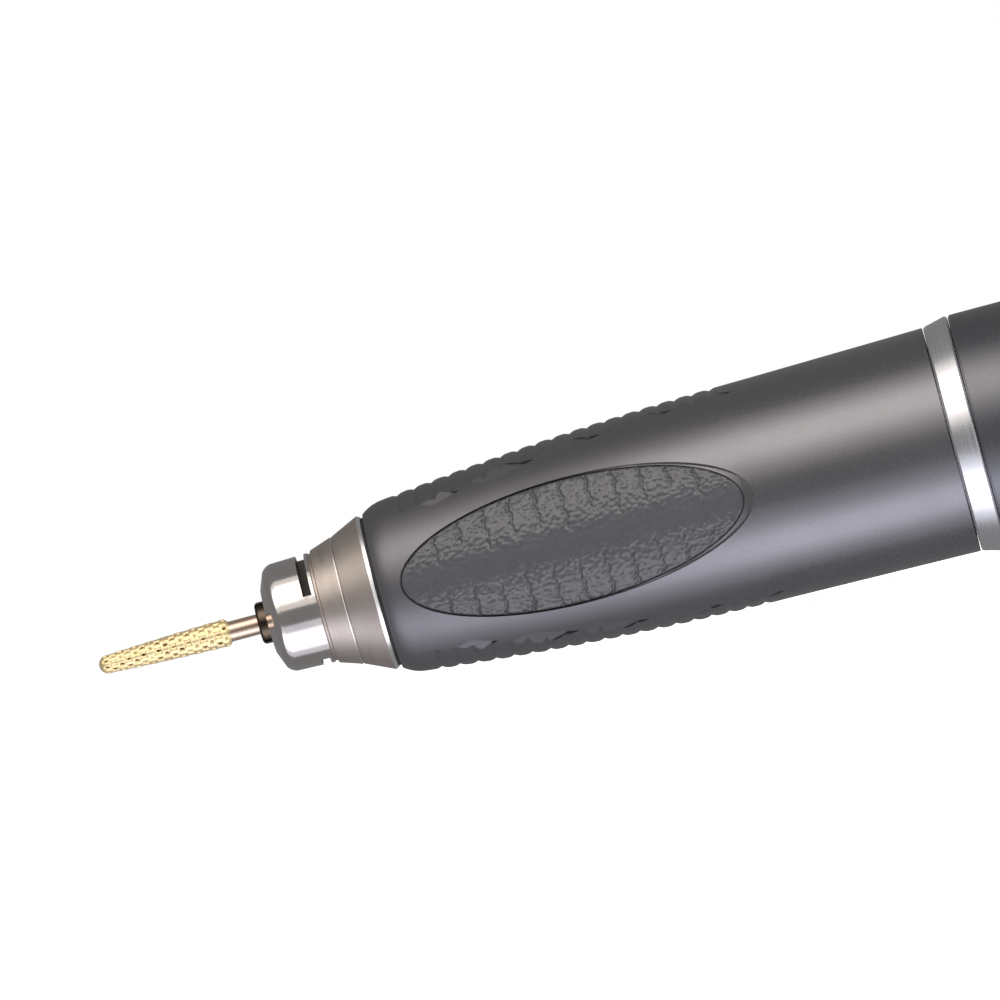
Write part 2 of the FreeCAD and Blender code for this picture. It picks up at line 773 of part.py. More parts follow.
def ribbed_field():
    """Tapered prism over the top and the underside."""
    first = rib_first_station
    last = rib_first_station + (rib_count - 1) * rib_pitch
    reach = case_radius * 1.5
    corners = [Vector(first, -rib_field_front, -reach), Vector(last, -rib_field_rear, -reach),
               Vector(last, rib_field_rear, -reach), Vector(first, rib_field_front, -reach)]
    return Part.Face(Part.makePolygon(corners + corners[:1])).extrude(Vector(0, 0, 2 * reach))


def leaf_cutters():
    """Leaf-shaped prisms on the lower near side, each with a flat floor that runs out at its lower edge."""
    cutters = []
    for tip, length, turn in leaves:
        apex = tip + leaf_apex_share * length
        height = leaf_height if length < rib_pitch * 3 else leaf_long_height
        floor = grip_radius(apex) * math.cos(math.radians(leaf_half_angle))
        lower = grip_radius(apex) * math.sin(math.radians(leaf_half_angle))
        tip_line = lower - height / 2
        corners = [Vector(tip, -tip_line, floor), Vector(apex, -tip_line + height, floor),
                   Vector(tip + length, -tip_line, floor), Vector(apex, -lower * 1.5, floor)]
        prism = Part.Face(Part.makePolygon(corners + corners[:1])).extrude(Vector(0, 0, leaf_reach))
        cutters.append(turned_about_axis(prism, 90.0 + turn))
    return cutters


def leaf_field():
    """The leaves of all four borders of the ribbed fields."""
    near = leaf_cutters()
    both = near + [cutter.mirror(ZERO, Vector(0, 0, 1)) for cutter in near]
    return both + [cutter.mirror(ZERO, Vector(0, 1, 0)) for cutter in both]


def grip_housing():
    """Front case: bowed barrel with ribbed fields on top and below and an oval pocket on each side."""
    outline = grip_outline(0)
    thread_bore = guide_thread_radius + seat_gap
    front_bore = sleeve_front_land_radius + seat_gap
    waist_front = sleeve_front_land_end + 0.5
    body = turned(*outline,
                  (grip_rear_station, thread_bore),
                  (guide_thread_station - seat_gap, thread_bore),
                  (guide_thread_station - seat_gap, grip_waist_bore),
                  (waist_front, grip_waist_bore),
                  (waist_front, front_bore),
                  (grip_front_station, front_bore))
    waste = ribbed_field().cut(ribbed_body())
    pocket_floor = turned(*grip_outline(pad_pocket_depth), (grip_rear_station, 0), (grip_front_station, 0))
    pocket = oval(pad_half_length, pad_half_height).cut(pocket_floor)
    return body.cut(waste).cut(pocket).cut(pad_scoop()).cut(leaf_field())


def pad_skin_outline(sink, rear_sink):
    """Line along the grip below its skin, which dips from the dip station to the rear end of the pad."""
    rear = pad_centre_station + pad_half_length
    front = grip_round_end
    middle = (front + pad_dip_station) / 2
    return [(front, grip_radius(front) - sink),
            ((middle, grip_radius(middle) - sink), (pad_dip_station, grip_radius(pad_dip_station) - sink)),
            (rear, grip_radius(rear) - rear_sink)]


def pad_scoop():
    """Sunk rim of the pocket and the slope behind the pad."""
    rear = pad_centre_station + pad_half_length
    slope_end = rear + pad_scoop_length
    length = pad_half_length + (pad_scoop_length + pad_ledge_width) / 2
    rim = oval(length, pad_half_height + pad_ledge_width)
    rim.translate(Vector((pad_scoop_length - pad_ledge_width) / 2, 0, 0))
    outline = pad_skin_outline(pad_ledge_depth, pad_rear_sink)
    return rim.cut(turned((pad_centre_station - length - pad_scoop_length, 0), *outline,
                          (slope_end, grip_radius(slope_end)), (slope_end, 0)))


def grip_pad(side):
    """Soft oval pad with cross grooves; side is -1 for the near pad and 1 for the far one."""
    outline = pad_skin_outline(pad_sink, pad_rear_sink)
    skin = turned((outline[0][0], 0), *outline, (outline[-1][0], 0))
    core = turned(*grip_outline(pad_pocket_depth - seat_gap), (grip_rear_station, 0), (grip_front_station, 0))
    first = pad_centre_station - (pad_groove_count - 1) * pad_groove_pitch / 2
    grooves = []
    for k in range(pad_groove_count):
        station = first + k * pad_groove_pitch
        dip = max(0, (station - pad_dip_station) / (pad_centre_station + pad_half_length - pad_dip_station))
        floor = grip_radius(station) - pad_sink - dip * (pad_rear_sink - pad_sink) - pad_groove_depth
        grooves.append(turned((station - pad_groove_width / 2, case_radius), (station, floor),
                              (station + pad_groove_width / 2, case_radius)))
    blank = oval(pad_half_length - pad_edge_gap, pad_half_height - pad_edge_gap)
    half = Part.makeBox(2 * grip_rear_station, case_radius * 2, case_radius * 4,
                        Vector(0, 0 if side > 0 else -case_radius * 2, -case_radius * 2))
    return pierced(skin.common(blank).common(half).cut(core), *grooves)


def case_seals():
    """Rubber rings behind the steel cone and in front of the rear cap."""
    front = tube(cone_rim_station + seat_gap, grip_front_station - seat_gap,
                 sleeve_front_land_radius + seat_gap, cone_rim_radius - 0.35)
    rear = tube(motor_rear_station + seat_gap, motor_rear_station + 0.5 - seat_gap,
                motor_bore - 0.02, case_radius - 0.5)
    return Part.makeCompound([front, rear])


# Collet opener
def trim_ring():
    """Bright tapered ring between the grip and the lock ring."""
    bevel = edge_chamfer
    front = trim_ring_station
    return turned((front, guide_thread_radius + seat_gap), (front, grip_rear_radius - bevel / 2),
                  (front + bevel, grip_rear_radius + bevel / 4), (trim_ring_end - bevel, case_radius),
                  (trim_ring_end, case_radius - bevel), (trim_ring_end, guide_thread_radius + seat_gap))


def guide_tube():
    """Fixed tube that joins the two cases and guides the push sleeve; its slots run along the axis."""
    body = turned((guide_thread_station, guide_bore_radius), (guide_thread_station, guide_thread_radius),
                  (trim_ring_end, guide_thread_radius), (trim_ring_end, guide_tube_radius),
                  (guide_tube_end, guide_tube_radius), (guide_tube_end, guide_bore_radius))
    radius = cam_pin_radius + cam_slot_gap
    front = cam_pin_station - push_travel
    slot = Part.makeBox(push_travel, 2 * radius, 2 * guide_thread_radius, Vector(front, -radius, 0))
    ends = [radial_pin(station, 0, 2 * guide_thread_radius, radius) for station in (front, cam_pin_station)]
    cutter = slot.fuse(ends)
    return pierced(body, *around(cutter, 2))


def push_sleeve():
    """Sleeve that moves forward without turning and pushes the spring collar."""
    outer = guide_bore_radius - running_gap
    lip = spindle_seat_radius + 0.4
    front = push_sleeve_station
    nose_radius = spring_collar_radius + 0.6
    taper_end = front + push_sleeve_lip + push_sleeve_taper
    body = turned((front, lip), (front, nose_radius), (front + push_sleeve_lip, nose_radius),
                  (taper_end, outer), (push_sleeve_end, outer), (push_sleeve_end, push_sleeve_bore),
                  (front + push_sleeve_lip, push_sleeve_bore), (front + push_sleeve_lip, lip))
    hole = radial_pin(cam_pin_station, 0, 2 * outer, cam_pin_radius + seat_gap / 2)
    return pierced(body, *around(hole, 2))


def cam_pins():
    """Two pins pressed in the push sleeve that run in the helical slots."""
    pin = radial_pin(cam_pin_station, push_sleeve_bore + 0.6, lock_ring_bore - 0.3, cam_pin_radius)
    return Part.makeCompound(around(pin, 2))


def cam_ring():
    """Steel ring, fixed in the lock ring, with two helical slots that drive the pins."""
    bore = cam_ring_bore
    outer = cam_ring_radius
    body = tube(cam_ring_station, cam_ring_station + cam_ring_length, bore, outer)
    lead = push_travel * 360.0 / cam_angle
    slope = math.atan(push_travel / (math.radians(cam_angle) * (bore + outer) / 2))
    width = 2 * (cam_pin_radius + cam_slot_side_gap) / math.cos(slope)
    end_radius = cam_pin_radius + cam_slot_gap
    slot = helical_bar(lead, push_travel, bore - 0.5, outer + 0.5, width)
    slot.translate(Vector(cam_pin_station - push_travel, 0, 0))
    start = radial_pin(cam_pin_station - push_travel, bore - 0.5, outer + 0.5, end_radius)
    end = turned_about_axis(radial_pin(cam_pin_station, bore - 0.5, outer + 0.5, end_radius), cam_angle)
    return pierced(body, *around(slot.fuse([start, end]), 2, first=-cam_angle))


def lock_ring():
    """Dark ring that is twisted to open and close the collet."""
    bore = guide_tube_radius + running_gap
    front = lock_ring_station
    wall = front + lock_ring_front_wall
    bevel = edge_chamfer
    return turned((front, bore), (front, case_radius - bevel), (front + bevel, case_radius),
                  (lock_ring_end - bevel, case_radius), (lock_ring_end, case_radius - bevel),
                  (lock_ring_end, lock_ring_bore), (wall, lock_ring_bore), (wall, bore))


# Motor
def motor_housing():
    """Rear case, a plain barrel round the motor."""
    return ring_with_edges(motor_front_station, motor_rear_station, motor_bore, case_radius, edge_chamfer)


def front_end_bell():
    """Carries the front motor bearing and screws onto the guide tube."""
    bearing_bore = motor_bearing_radius + seat_gap / 2
    front = motor_bearing_front - end_bell_skin
    pocket = guide_tube_radius + seat_gap
    floor = guide_tube_end + seat_gap
    return turned((front, motor_shaft_radius + 1.0), (front, end_bell_hub_radius),
                  (floor, end_bell_hub_radius), (floor, pocket), (motor_front_station + 0.1, pocket),
                  (motor_front_station + 0.1, stator_radius), (end_bell_rear, stator_radius),
                  (end_bell_rear, bearing_bore),
                  (motor_bearing_front - seat_gap, bearing_bore),
                  (motor_bearing_front - seat_gap, motor_shaft_radius + 1.0))


def rotor_shaft():
    rear = motor_bearing_rear + bearing_width + 0.8
    core_front = motor_bearing_front_end + seat_gap
    core_rear = motor_bearing_rear - seat_gap
    return turned((claw_station + 0.1, 0), (claw_station + 0.1, motor_shaft_radius),
                  (core_front, motor_shaft_radius), (core_front, rotor_core_radius),
                  (core_rear, rotor_core_radius), (core_rear, motor_shaft_radius),
                  (rear - 0.3, motor_shaft_radius), (rear, motor_shaft_radius - 0.3), (rear, 0))


def rotor_magnet():
    return tube(magnet_front, magnet_end, rotor_core_radius + seat_gap, magnet_radius)


def magnet_sleeve():
    """Thin band that keeps the magnet together at speed."""
    return tube(magnet_front, magnet_end, magnet_radius + seat_gap, magnet_radius + magnet_sleeve_thickness)


def balance_rings():
    radius = magnet_radius - 0.2
    bore = rotor_core_radius + seat_gap
    front = tube(magnet_front - balance_ring_length, magnet_front - seat_gap, bore, radius)
    rear = tube(magnet_end + seat_gap, magnet_end + balance_ring_length, bore, radius)
    return Part.makeCompound([front, rear])


def stator_core():
    """Laminated core with teeth and pole shoes; the slots between them hold the coils."""
    core = tube(stator_front, stator_front + stator_length, stator_inner, stator_radius)
    half_pitch = math.pi / stator_teeth
    half_tooth = stator_tooth_width / 2
    corners = []
    for radius in (stator_inner + stator_shoe, stator_back_radius):
        along = math.sqrt(radius ** 2 - half_tooth ** 2)
        up = along * math.cos(half_pitch) + half_tooth * math.sin(half_pitch)
        across = along * math.sin(half_pitch) - half_tooth * math.cos(half_pitch)
        corners.append((across, up))
    (low_y, low_z), (high_y, high_z) = corners
    back = Part.Arc(Vector(0, high_y, high_z), Vector(0, 0, stator_back_radius), Vector(0, -high_y, high_z))
    sides = [(-high_y, high_z), (-low_y, low_z), (low_y, low_z), (high_y, high_z)]
    low = Part.makePolygon([Vector(0, across, up) for across, up in sides])
    wire = Part.Wire([back.toShape()] + low.Edges)
    slot = Part.Face(wire).extrude(Vector(stator_length, 0, 0))
    mouth = Part.makeBox(stator_length, stator_slot_mouth, low_z - stator_inner + 1.0,
                         Vector(0, -stator_slot_mouth / 2, stator_inner - 0.5))
    opening = slot.fuse(mouth)
    opening.translate(Vector(stator_front, 0, 0))
    return pierced(core, *around(opening, stator_teeth))


def stator_coils():
    """One coil round each tooth, as a racetrack."""
    inner_half = stator_tooth_width / 2 + coil_gap
    outer_half = inner_half + coil_side
    window_front = stator_front - coil_gap
    window = stator_length + 2 * coil_gap
    floor = stator_inner + stator_shoe + coil_gap
    height = stator_back_radius - floor
    outer = Part.makeBox(window + 2 * coil_end, 2 * outer_half, height,
                         Vector(window_front - coil_end, -outer_half, floor))
    upright = [edge for edge in outer.Edges if abs(edge.tangentAt(edge.FirstParameter).z) > 0.99]
    outer = outer.makeFillet(coil_end * 0.8, upright)
    hole = Part.makeBox(window, 2 * inner_half, height * 2,
                        Vector(window_front, -inner_half, floor - height / 2))
    coil = outer.cut(hole).common(rod(window_front - coil_end * 2, window_front + window + coil_end * 2,
                                      stator_back_radius - coil_gap))
    return Part.makeCompound(around(coil, stator_teeth, first=180.0 / stator_teeth))


def rear_end_bell():
    """Carries the rear motor bearing; three windows let the leads through."""
    bearing_bore = motor_bearing_radius + seat_gap / 2
    floor = motor_bearing_rear + bearing_width + seat_gap
    rear = rear_bell_front + rear_bell_length
    bell = turned((rear_bell_front, bearing_bore), (rear_bell_front, stator_radius), (rear, stator_radius),
                  (rear, motor_shaft_radius + 1.0), (floor, motor_shaft_radius + 1.0), (floor, bearing_bore))
    middle = (motor_bearing_radius + stator_radius) / 2
    window = Part.makeCylinder(lead_window_radius, rear_bell_length, Vector(rear_bell_front, 0, middle), AXIS)
    return pierced(bell, *around(window, sensor_count))


def sensor_board():
    """Ring-shaped board on the front of the rear end bell."""
    front = rear_bell_front - board_thickness
    return tube(front, rear_bell_front - seat_gap, board_hole, motor_bore - board_rim)


def hall_sensors():
    """Rotor position sensors on the board."""
    rear = rear_bell_front - board_thickness
    sensor = Part.makeBox(sensor_height, sensor_size * 1.4, sensor_size,
                          Vector(rear - sensor_height, -sensor_size * 0.7, sensor_circle - sensor_size / 2))
    return Part.makeCompound(around(sensor, sensor_count, first=60.0))


# Rear end
def rear_cap():
    """Domed cap screwed into the rear case, with the seat of the cord socket."""
    front = motor_rear_station + 0.5
    spigot_front = rear_bell_front + rear_bell_length + seat_gap
    spigot = motor_bore - seat_gap
    seat = socket_bore + socket_wall + seat_gap
    dome_start = front + rear_cap_barrel
    dome_end = rear_cap_station - 0.5
    dome_via = (0.5 * (dome_start + dome_end), 0.38 * rear_cap_end_radius + 0.62 * rear_cap_radius)
    return turned((spigot_front, spigot - rear_cap_wall), (spigot_front, spigot), (front, spigot),
                  (front, rear_cap_radius - edge_chamfer), (front + edge_chamfer, rear_cap_radius),
                  (dome_start, rear_cap_radius), (dome_via, (dome_end, rear_cap_end_radius)),
                  (rear_cap_station, rear_cap_end_radius - 0.5), (rear_cap_station, seat),
                  (rear_cap_floor_station, seat), (rear_cap_floor_station, spigot - rear_cap_wall))


def socket_shell():
    """Metal sleeve that the plug of the cord goes into."""
    outer = socket_bore + socket_wall
    rear = socket_end_station
    flange = rear_cap_floor_station - socket_flange_length
    return turned((flange, insulator_seat), (flange, socket_flange_radius),
                  (rear_cap_floor_station - seat_gap, socket_flange_radius),
                  (rear_cap_floor_station - seat_gap, outer), (rear - edge_chamfer, outer),
                  (rear, outer - edge_chamfer), (rear, socket_bore),
                  (insulator_face, socket_bore), (insulator_face, insulator_seat))


def socket_insulator():
    """Plastic disc at the bottom of the socket that holds the contacts."""
    disc = rod(insulator_back, insulator_face - seat_gap, insulator_seat - seat_gap)
    hole = Part.makeCylinder(contact_radius + seat_gap, insulator_thickness,
                             Vector(insulator_back, 0, contact_circle), AXIS)
    return pierced(disc, *around(hole, contact_count))


def contact_sleeves():
    """Contacts that end flush with the insulator's face."""
    front = insulator_back - contact_tail
    rear = insulator_face - seat_gap
    body = Part.makeCylinder(contact_radius, rear - front, Vector(front, 0, contact_circle), AXIS)
    depth = insulator_thickness * 0.9
    bore = Part.makeCylinder(contact_bore, depth, Vector(rear - depth, 0, contact_circle), AXIS)
    return Part.makeCompound(around(body.cut(bore), contact_count))


rear_bearing_places = [rear_bearing_station]

pieces = {
    "bur": bur(),
    "collet": collet(),
    "drawbar": drawbar(),
    "draw_pin": draw_pin(),
    "spring_collar": spring_collar(),
    "collet_spring": collet_spring(),
    "spring_seat": spring_seat(),
    "spindle": spindle(),
    "spindle_nut": spindle_nut(),
    "front_bearing_inner_rings": inner_rings(front_bearing_places, spindle_bearing),
    "front_bearing_outer_rings": outer_rings(front_bearing_places, spindle_bearing),
    "front_bearing_balls": ball_sets(front_bearing_places, spindle_bearing, spindle_ball_count),
    "front_bearing_cages": cages(front_bearing_places, spindle_bearing, spindle_ball_count),
    "inner_spacer": inner_spacer(),
    "outer_spacer": outer_spacer(),
    "preload_washer": preload_washer(),
    "rear_bearing_inner_ring": inner_rings(rear_bearing_places, spindle_bearing),
    "rear_bearing_outer_ring": outer_rings(rear_bearing_places, spindle_bearing),
    "rear_bearing_balls": ball_sets(rear_bearing_places, spindle_bearing, spindle_ball_count),
    "rear_bearing_cage": cages(rear_bearing_places, spindle_bearing, spindle_ball_count),
    "bearing_clip": bearing_clip(),
    "spindle_fork": spindle_fork(),
    "drive_claw": drive_claw(),
    "nose_cap": nose_cap(),
    "dust_seal": dust_seal(),
    "bearing_sleeve": bearing_sleeve(),
    "grip_housing": grip_housing(),
    "grip_pad_left": grip_pad(-1),
    "grip_pad_right": grip_pad(1),
    "case_seals": case_seals(),
    "trim_ring": trim_ring(),
    "guide_tube": guide_tube(),
    "push_sleeve": push_sleeve(),
    "cam_pins": cam_pins(),
    "cam_ring": cam_ring(),
    "lock_ring": lock_ring(),
    "motor_housing": motor_housing(),
    "front_end_bell": front_end_bell(),
    "rotor_shaft": rotor_shaft(),
    "rotor_magnet": rotor_magnet(),
    "magnet_sleeve": magnet_sleeve(),
    "balance_rings": balance_rings(),
    "stator_core": stator_core(),
    "stator_coils": stator_coils(),
    "motor_bearing_inner_rings": inner_rings(motor_bearing_places, motor_bearing),
    "motor_bearing_outer_rings": outer_rings(motor_bearing_places, motor_bearing),
    "motor_bearing_balls": ball_sets(motor_bearing_places, motor_bearing, motor_ball_count),
    "motor_bearing_cages": cages(motor_bearing_places, motor_bearing, motor_ball_count),
    "rear_end_bell": rear_end_bell(),
    "sensor_board": sensor_board(),
    "hall_sensors": hall_sensors(),
    "rear_cap": rear_cap(),
    "socket_shell": socket_shell(),
    "socket_insulator": socket_insulator(),
    "contact_sleeves": contact_sleeves(),
}

os.makedirs("parts", exist_ok=True)
for name, shape in pieces.items():
    shape.translate(Vector(-origin_station, 0, 0))
    shape.exportStep(f"parts/{name}.step")
    state = "valid" if shape.isValid() else "INVALID"
    print(name, len(shape.Solids), "solids", round(shape.Volume, 2), state)
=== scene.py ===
import json
import math
import bpy
import numpy as np
from mathutils import Matrix, Vector


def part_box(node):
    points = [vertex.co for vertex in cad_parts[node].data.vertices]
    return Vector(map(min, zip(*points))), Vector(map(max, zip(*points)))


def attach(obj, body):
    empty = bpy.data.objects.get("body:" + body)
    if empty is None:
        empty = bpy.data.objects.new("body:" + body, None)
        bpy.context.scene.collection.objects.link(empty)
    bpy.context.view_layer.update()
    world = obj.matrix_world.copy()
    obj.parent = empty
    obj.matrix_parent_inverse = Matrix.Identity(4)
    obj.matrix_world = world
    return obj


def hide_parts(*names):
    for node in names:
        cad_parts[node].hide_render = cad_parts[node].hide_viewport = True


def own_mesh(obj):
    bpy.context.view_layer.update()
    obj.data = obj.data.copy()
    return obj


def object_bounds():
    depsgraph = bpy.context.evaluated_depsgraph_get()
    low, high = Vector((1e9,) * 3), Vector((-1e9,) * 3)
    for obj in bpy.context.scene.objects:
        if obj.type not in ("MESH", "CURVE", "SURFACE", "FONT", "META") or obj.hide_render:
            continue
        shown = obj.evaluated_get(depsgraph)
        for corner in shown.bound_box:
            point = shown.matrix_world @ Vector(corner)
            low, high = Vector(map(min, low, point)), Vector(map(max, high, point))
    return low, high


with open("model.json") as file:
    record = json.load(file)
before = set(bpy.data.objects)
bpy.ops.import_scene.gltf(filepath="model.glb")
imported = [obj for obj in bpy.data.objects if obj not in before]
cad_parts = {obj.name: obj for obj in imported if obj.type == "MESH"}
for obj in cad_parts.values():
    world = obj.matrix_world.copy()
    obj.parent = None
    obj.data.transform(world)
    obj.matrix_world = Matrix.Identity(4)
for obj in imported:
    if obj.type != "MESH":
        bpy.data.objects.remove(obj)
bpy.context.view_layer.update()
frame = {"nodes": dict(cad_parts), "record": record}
nodes = frame["nodes"]
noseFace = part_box("nose_cap")[0].x
mm = 0.001    # the frame is in metres


def stationToX(station):    # stations are counted in mm from the front face of the nose
    return noseFace + np.asarray(station, float) * mm


def planeAt(station):    # the same for one station, as a plain number
    return float(stationToX(station))


def linear(hexColour):    # sRGB hex to the linear values that Blender's sockets take
    parts = [int(hexColour[k:k + 2], 16) / 255 for k in (1, 3, 5)]
    return [p / 12.92 if p <= 0.04045 else ((p + 0.055) / 1.055) ** 2.4 for p in parts] + [1.0]


def add(tree, kind, fields=None, inputs=None, links=None):    # adds a node with its settings and links
    node = tree.nodes.new(kind)
    for key, value in (fields or {}).items():
        setattr(node, key, value)
    for key, value in (inputs or {}).items():
        node.inputs[key].default_value = value
    for key, (source, socket) in (links or {}).items():
        tree.links.new(source.outputs[socket], node.inputs[key])
    return node


def blankTree(holder):    # turns on the nodes of a material or world and clears them
    holder.use_nodes = True
    holder.node_tree.nodes.clear()
    return holder.node_tree


# Camera: a long lens at bench distance, a little towards the tail,
# rolled so that the handpiece climbs to the right
cameraSetup = {
    "station": 29.3, "height": 6.64, "distance": 1950.0, "swing": 2.1, "roll": 14.93, "frameWidth": 114.94,
    "sensor": 36, "clip": (0.05, 50),
}


def placeCamera(setup):
    swing = math.radians(setup["swing"])
    roll = math.radians(setup["roll"])
    target = Vector((planeAt(setup["station"]), 0, setup["height"] * mm))
    towards = Vector((-math.sin(swing), math.cos(swing), 0))
    level = towards.cross(Vector((0, 0, 1)))
    right = math.cos(roll) * level - math.sin(roll) * Vector((0, 0, 1))
    up = math.sin(roll) * level + math.cos(roll) * Vector((0, 0, 1))
    place = target - towards * setup["distance"] * mm
    data = bpy.data.cameras.new("bench_camera")
    data.sensor_width = setup["sensor"]
    data.lens = setup["sensor"] * setup["distance"] / setup["frameWidth"]
    data.clip_start, data.clip_end = setup["clip"]
    camera = bpy.data.objects.new("bench_camera", data)
    bpy.context.scene.collection.objects.link(camera)
    rows = Matrix((right, up, -towards)).transposed().to_4x4()
    camera.matrix_world = Matrix.Translation(place) @ rows
    bpy.context.scene.camera = camera


placeCamera(cameraSetup)
print("stage: camera placed")

# Studio: two long soft boxes, one above and one below the lens, and a dark gap between them.
# Each soft box is dim at its edges and bright in the middle, so it is made of three layers.
studio = {
    "boxes": {
        "upper_soft_box": {"elevation": 48, "turn": 0, "distance": 0.75, "along": 1.7, "colour": "#fff8f0",
                           "layers": ((1.06, 3.8), (0.64, 2.9), (0.34, 1.7))},
        "lower_soft_box": {"elevation": -58, "turn": 0, "distance": 0.75, "along": 1.7, "colour": "#f2f3ff",
                           "layers": ((1.18, 3.8), (0.64, 3.0), (0.34, 1.7))},
        "tail_side_card": {"elevation": 0, "turn": 80, "distance": 0.9, "along": 0.9, "colour": "#ffffff",
                           "layers": ((2.4, 8.4),)},    # only bevels that face the tail reflect it
    },
    "aimStation": 50,
    "layerGap": 0.002,         # keeps the layers of a box apart
    "skyForDiffuse": 0.38,     # soft light from all sides
    "skyForGloss": 0.22,       # the room round the soft boxes is darker than the white ground
    "floorColour": "#f4f4f2",
    "floorHalf": 2.5,
    "floorGlow": 0.8,          # what the floor adds for the camera, so that only the shadow stays below white
}


def softBox(name, box):
    centre = Vector((planeAt(studio["aimStation"]), 0, 0))
    angle = math.radians(box["elevation"])
    turn = math.radians(box["turn"])
    away = Vector((math.cos(angle) * math.sin(turn), -math.cos(angle) * math.cos(turn), math.sin(angle)))
    side = Vector((math.cos(turn), math.sin(turn), 0))
    rows = Matrix((side, away.cross(side), away)).transposed().to_4x4()
    for layer, (across, power) in enumerate(box["layers"]):
        data = bpy.data.lights.new(f"{name}_{layer}", "AREA")
        data.shape = "RECTANGLE"
        data.size = box["along"]
        data.size_y = across
        data.energy = power
        data.color = linear(box["colour"])[:3]
        lamp = bpy.data.objects.new(data.name, data)
        bpy.context.scene.collection.objects.link(lamp)
        reach = box["distance"] - studio["layerGap"] * layer
        lamp.matrix_world = Matrix.Translation(centre + away * reach) @ rows


def whiteForCamera(tree):    # camera and see-through rays get 1, gloss a share of it, the rest the soft light
    path = add(tree, "ShaderNodeLightPath")
    gloss = add(tree, "ShaderNodeMath", {"operation": "MULTIPLY"}, {1: studio["skyForGloss"]},
                {0: (path, "Is Glossy Ray")})
    soft = add(tree, "ShaderNodeMath", {"operation": "MULTIPLY"}, {1: studio["skyForDiffuse"]},
               {0: (path, "Is Diffuse Ray")})
    seen = add(tree, "ShaderNodeMath", {"operation": "MAXIMUM"}, None,
               {0: (path, "Is Camera Ray"), 1: (path, "Is Transmission Ray")})
    both = add(tree, "ShaderNodeMath", {"operation": "MAXIMUM"}, None, {0: (gloss, 0), 1: (soft, 0)})
    return add(tree, "ShaderNodeMath", {"operation": "MAXIMUM"}, None, {0: (seen, 0), 1: (both, 0)})


def makeStudio():
    for name, box in studio["boxes"].items():
        softBox(name, box)
    world = bpy.data.worlds.new("white_studio")
    bpy.context.scene.world = world
    tree = blankTree(world)
    strength = whiteForCamera(tree)
    sky = add(tree, "ShaderNodeBackground", None, {"Color": (1, 1, 1, 1)}, {"Strength": (strength, 0)})
    add(tree, "ShaderNodeOutputWorld", None, None, {"Surface": (sky, 0)})

    half = studio["floorHalf"]
    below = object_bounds()[0][2]
    corners = [(-half, -half, below), (half, -half, below), (half, half, below), (-half, half, below)]
    mesh = bpy.data.meshes.new("floor")
    mesh.from_pydata(corners, [], [(0, 1, 2, 3)])
    floor = bpy.data.objects.new("floor", mesh)
    bpy.context.scene.collection.objects.link(floor)
    floor.visible_shadow = False     # the lower box shines through it
    floor.visible_glossy = False
    material = bpy.data.materials.new("white_card_floor")
    tree = blankTree(material)
    card = add(tree, "ShaderNodeBsdfDiffuse", None, {"Color": linear(studio["floorColour"])})
    path = add(tree, "ShaderNodeLightPath")
    share = add(tree, "ShaderNodeMath", {"operation": "MULTIPLY"}, {1: studio["floorGlow"]},
                {0: (path, "Is Camera Ray")})
    glow = add(tree, "ShaderNodeEmission", None, {"Color": (1, 1, 1, 1)}, {"Strength": (share, 0)})
    both = add(tree, "ShaderNodeAddShader", None, None, {0: (card, 0), 1: (glow, 0)})
    add(tree, "ShaderNodeOutputMaterial", None, None, {"Surface": (both, 0)})
    mesh.materials.append(material)
    bpy.context.scene.view_settings.view_transform = "Standard"


makeStudio()
print("stage: studio lit")

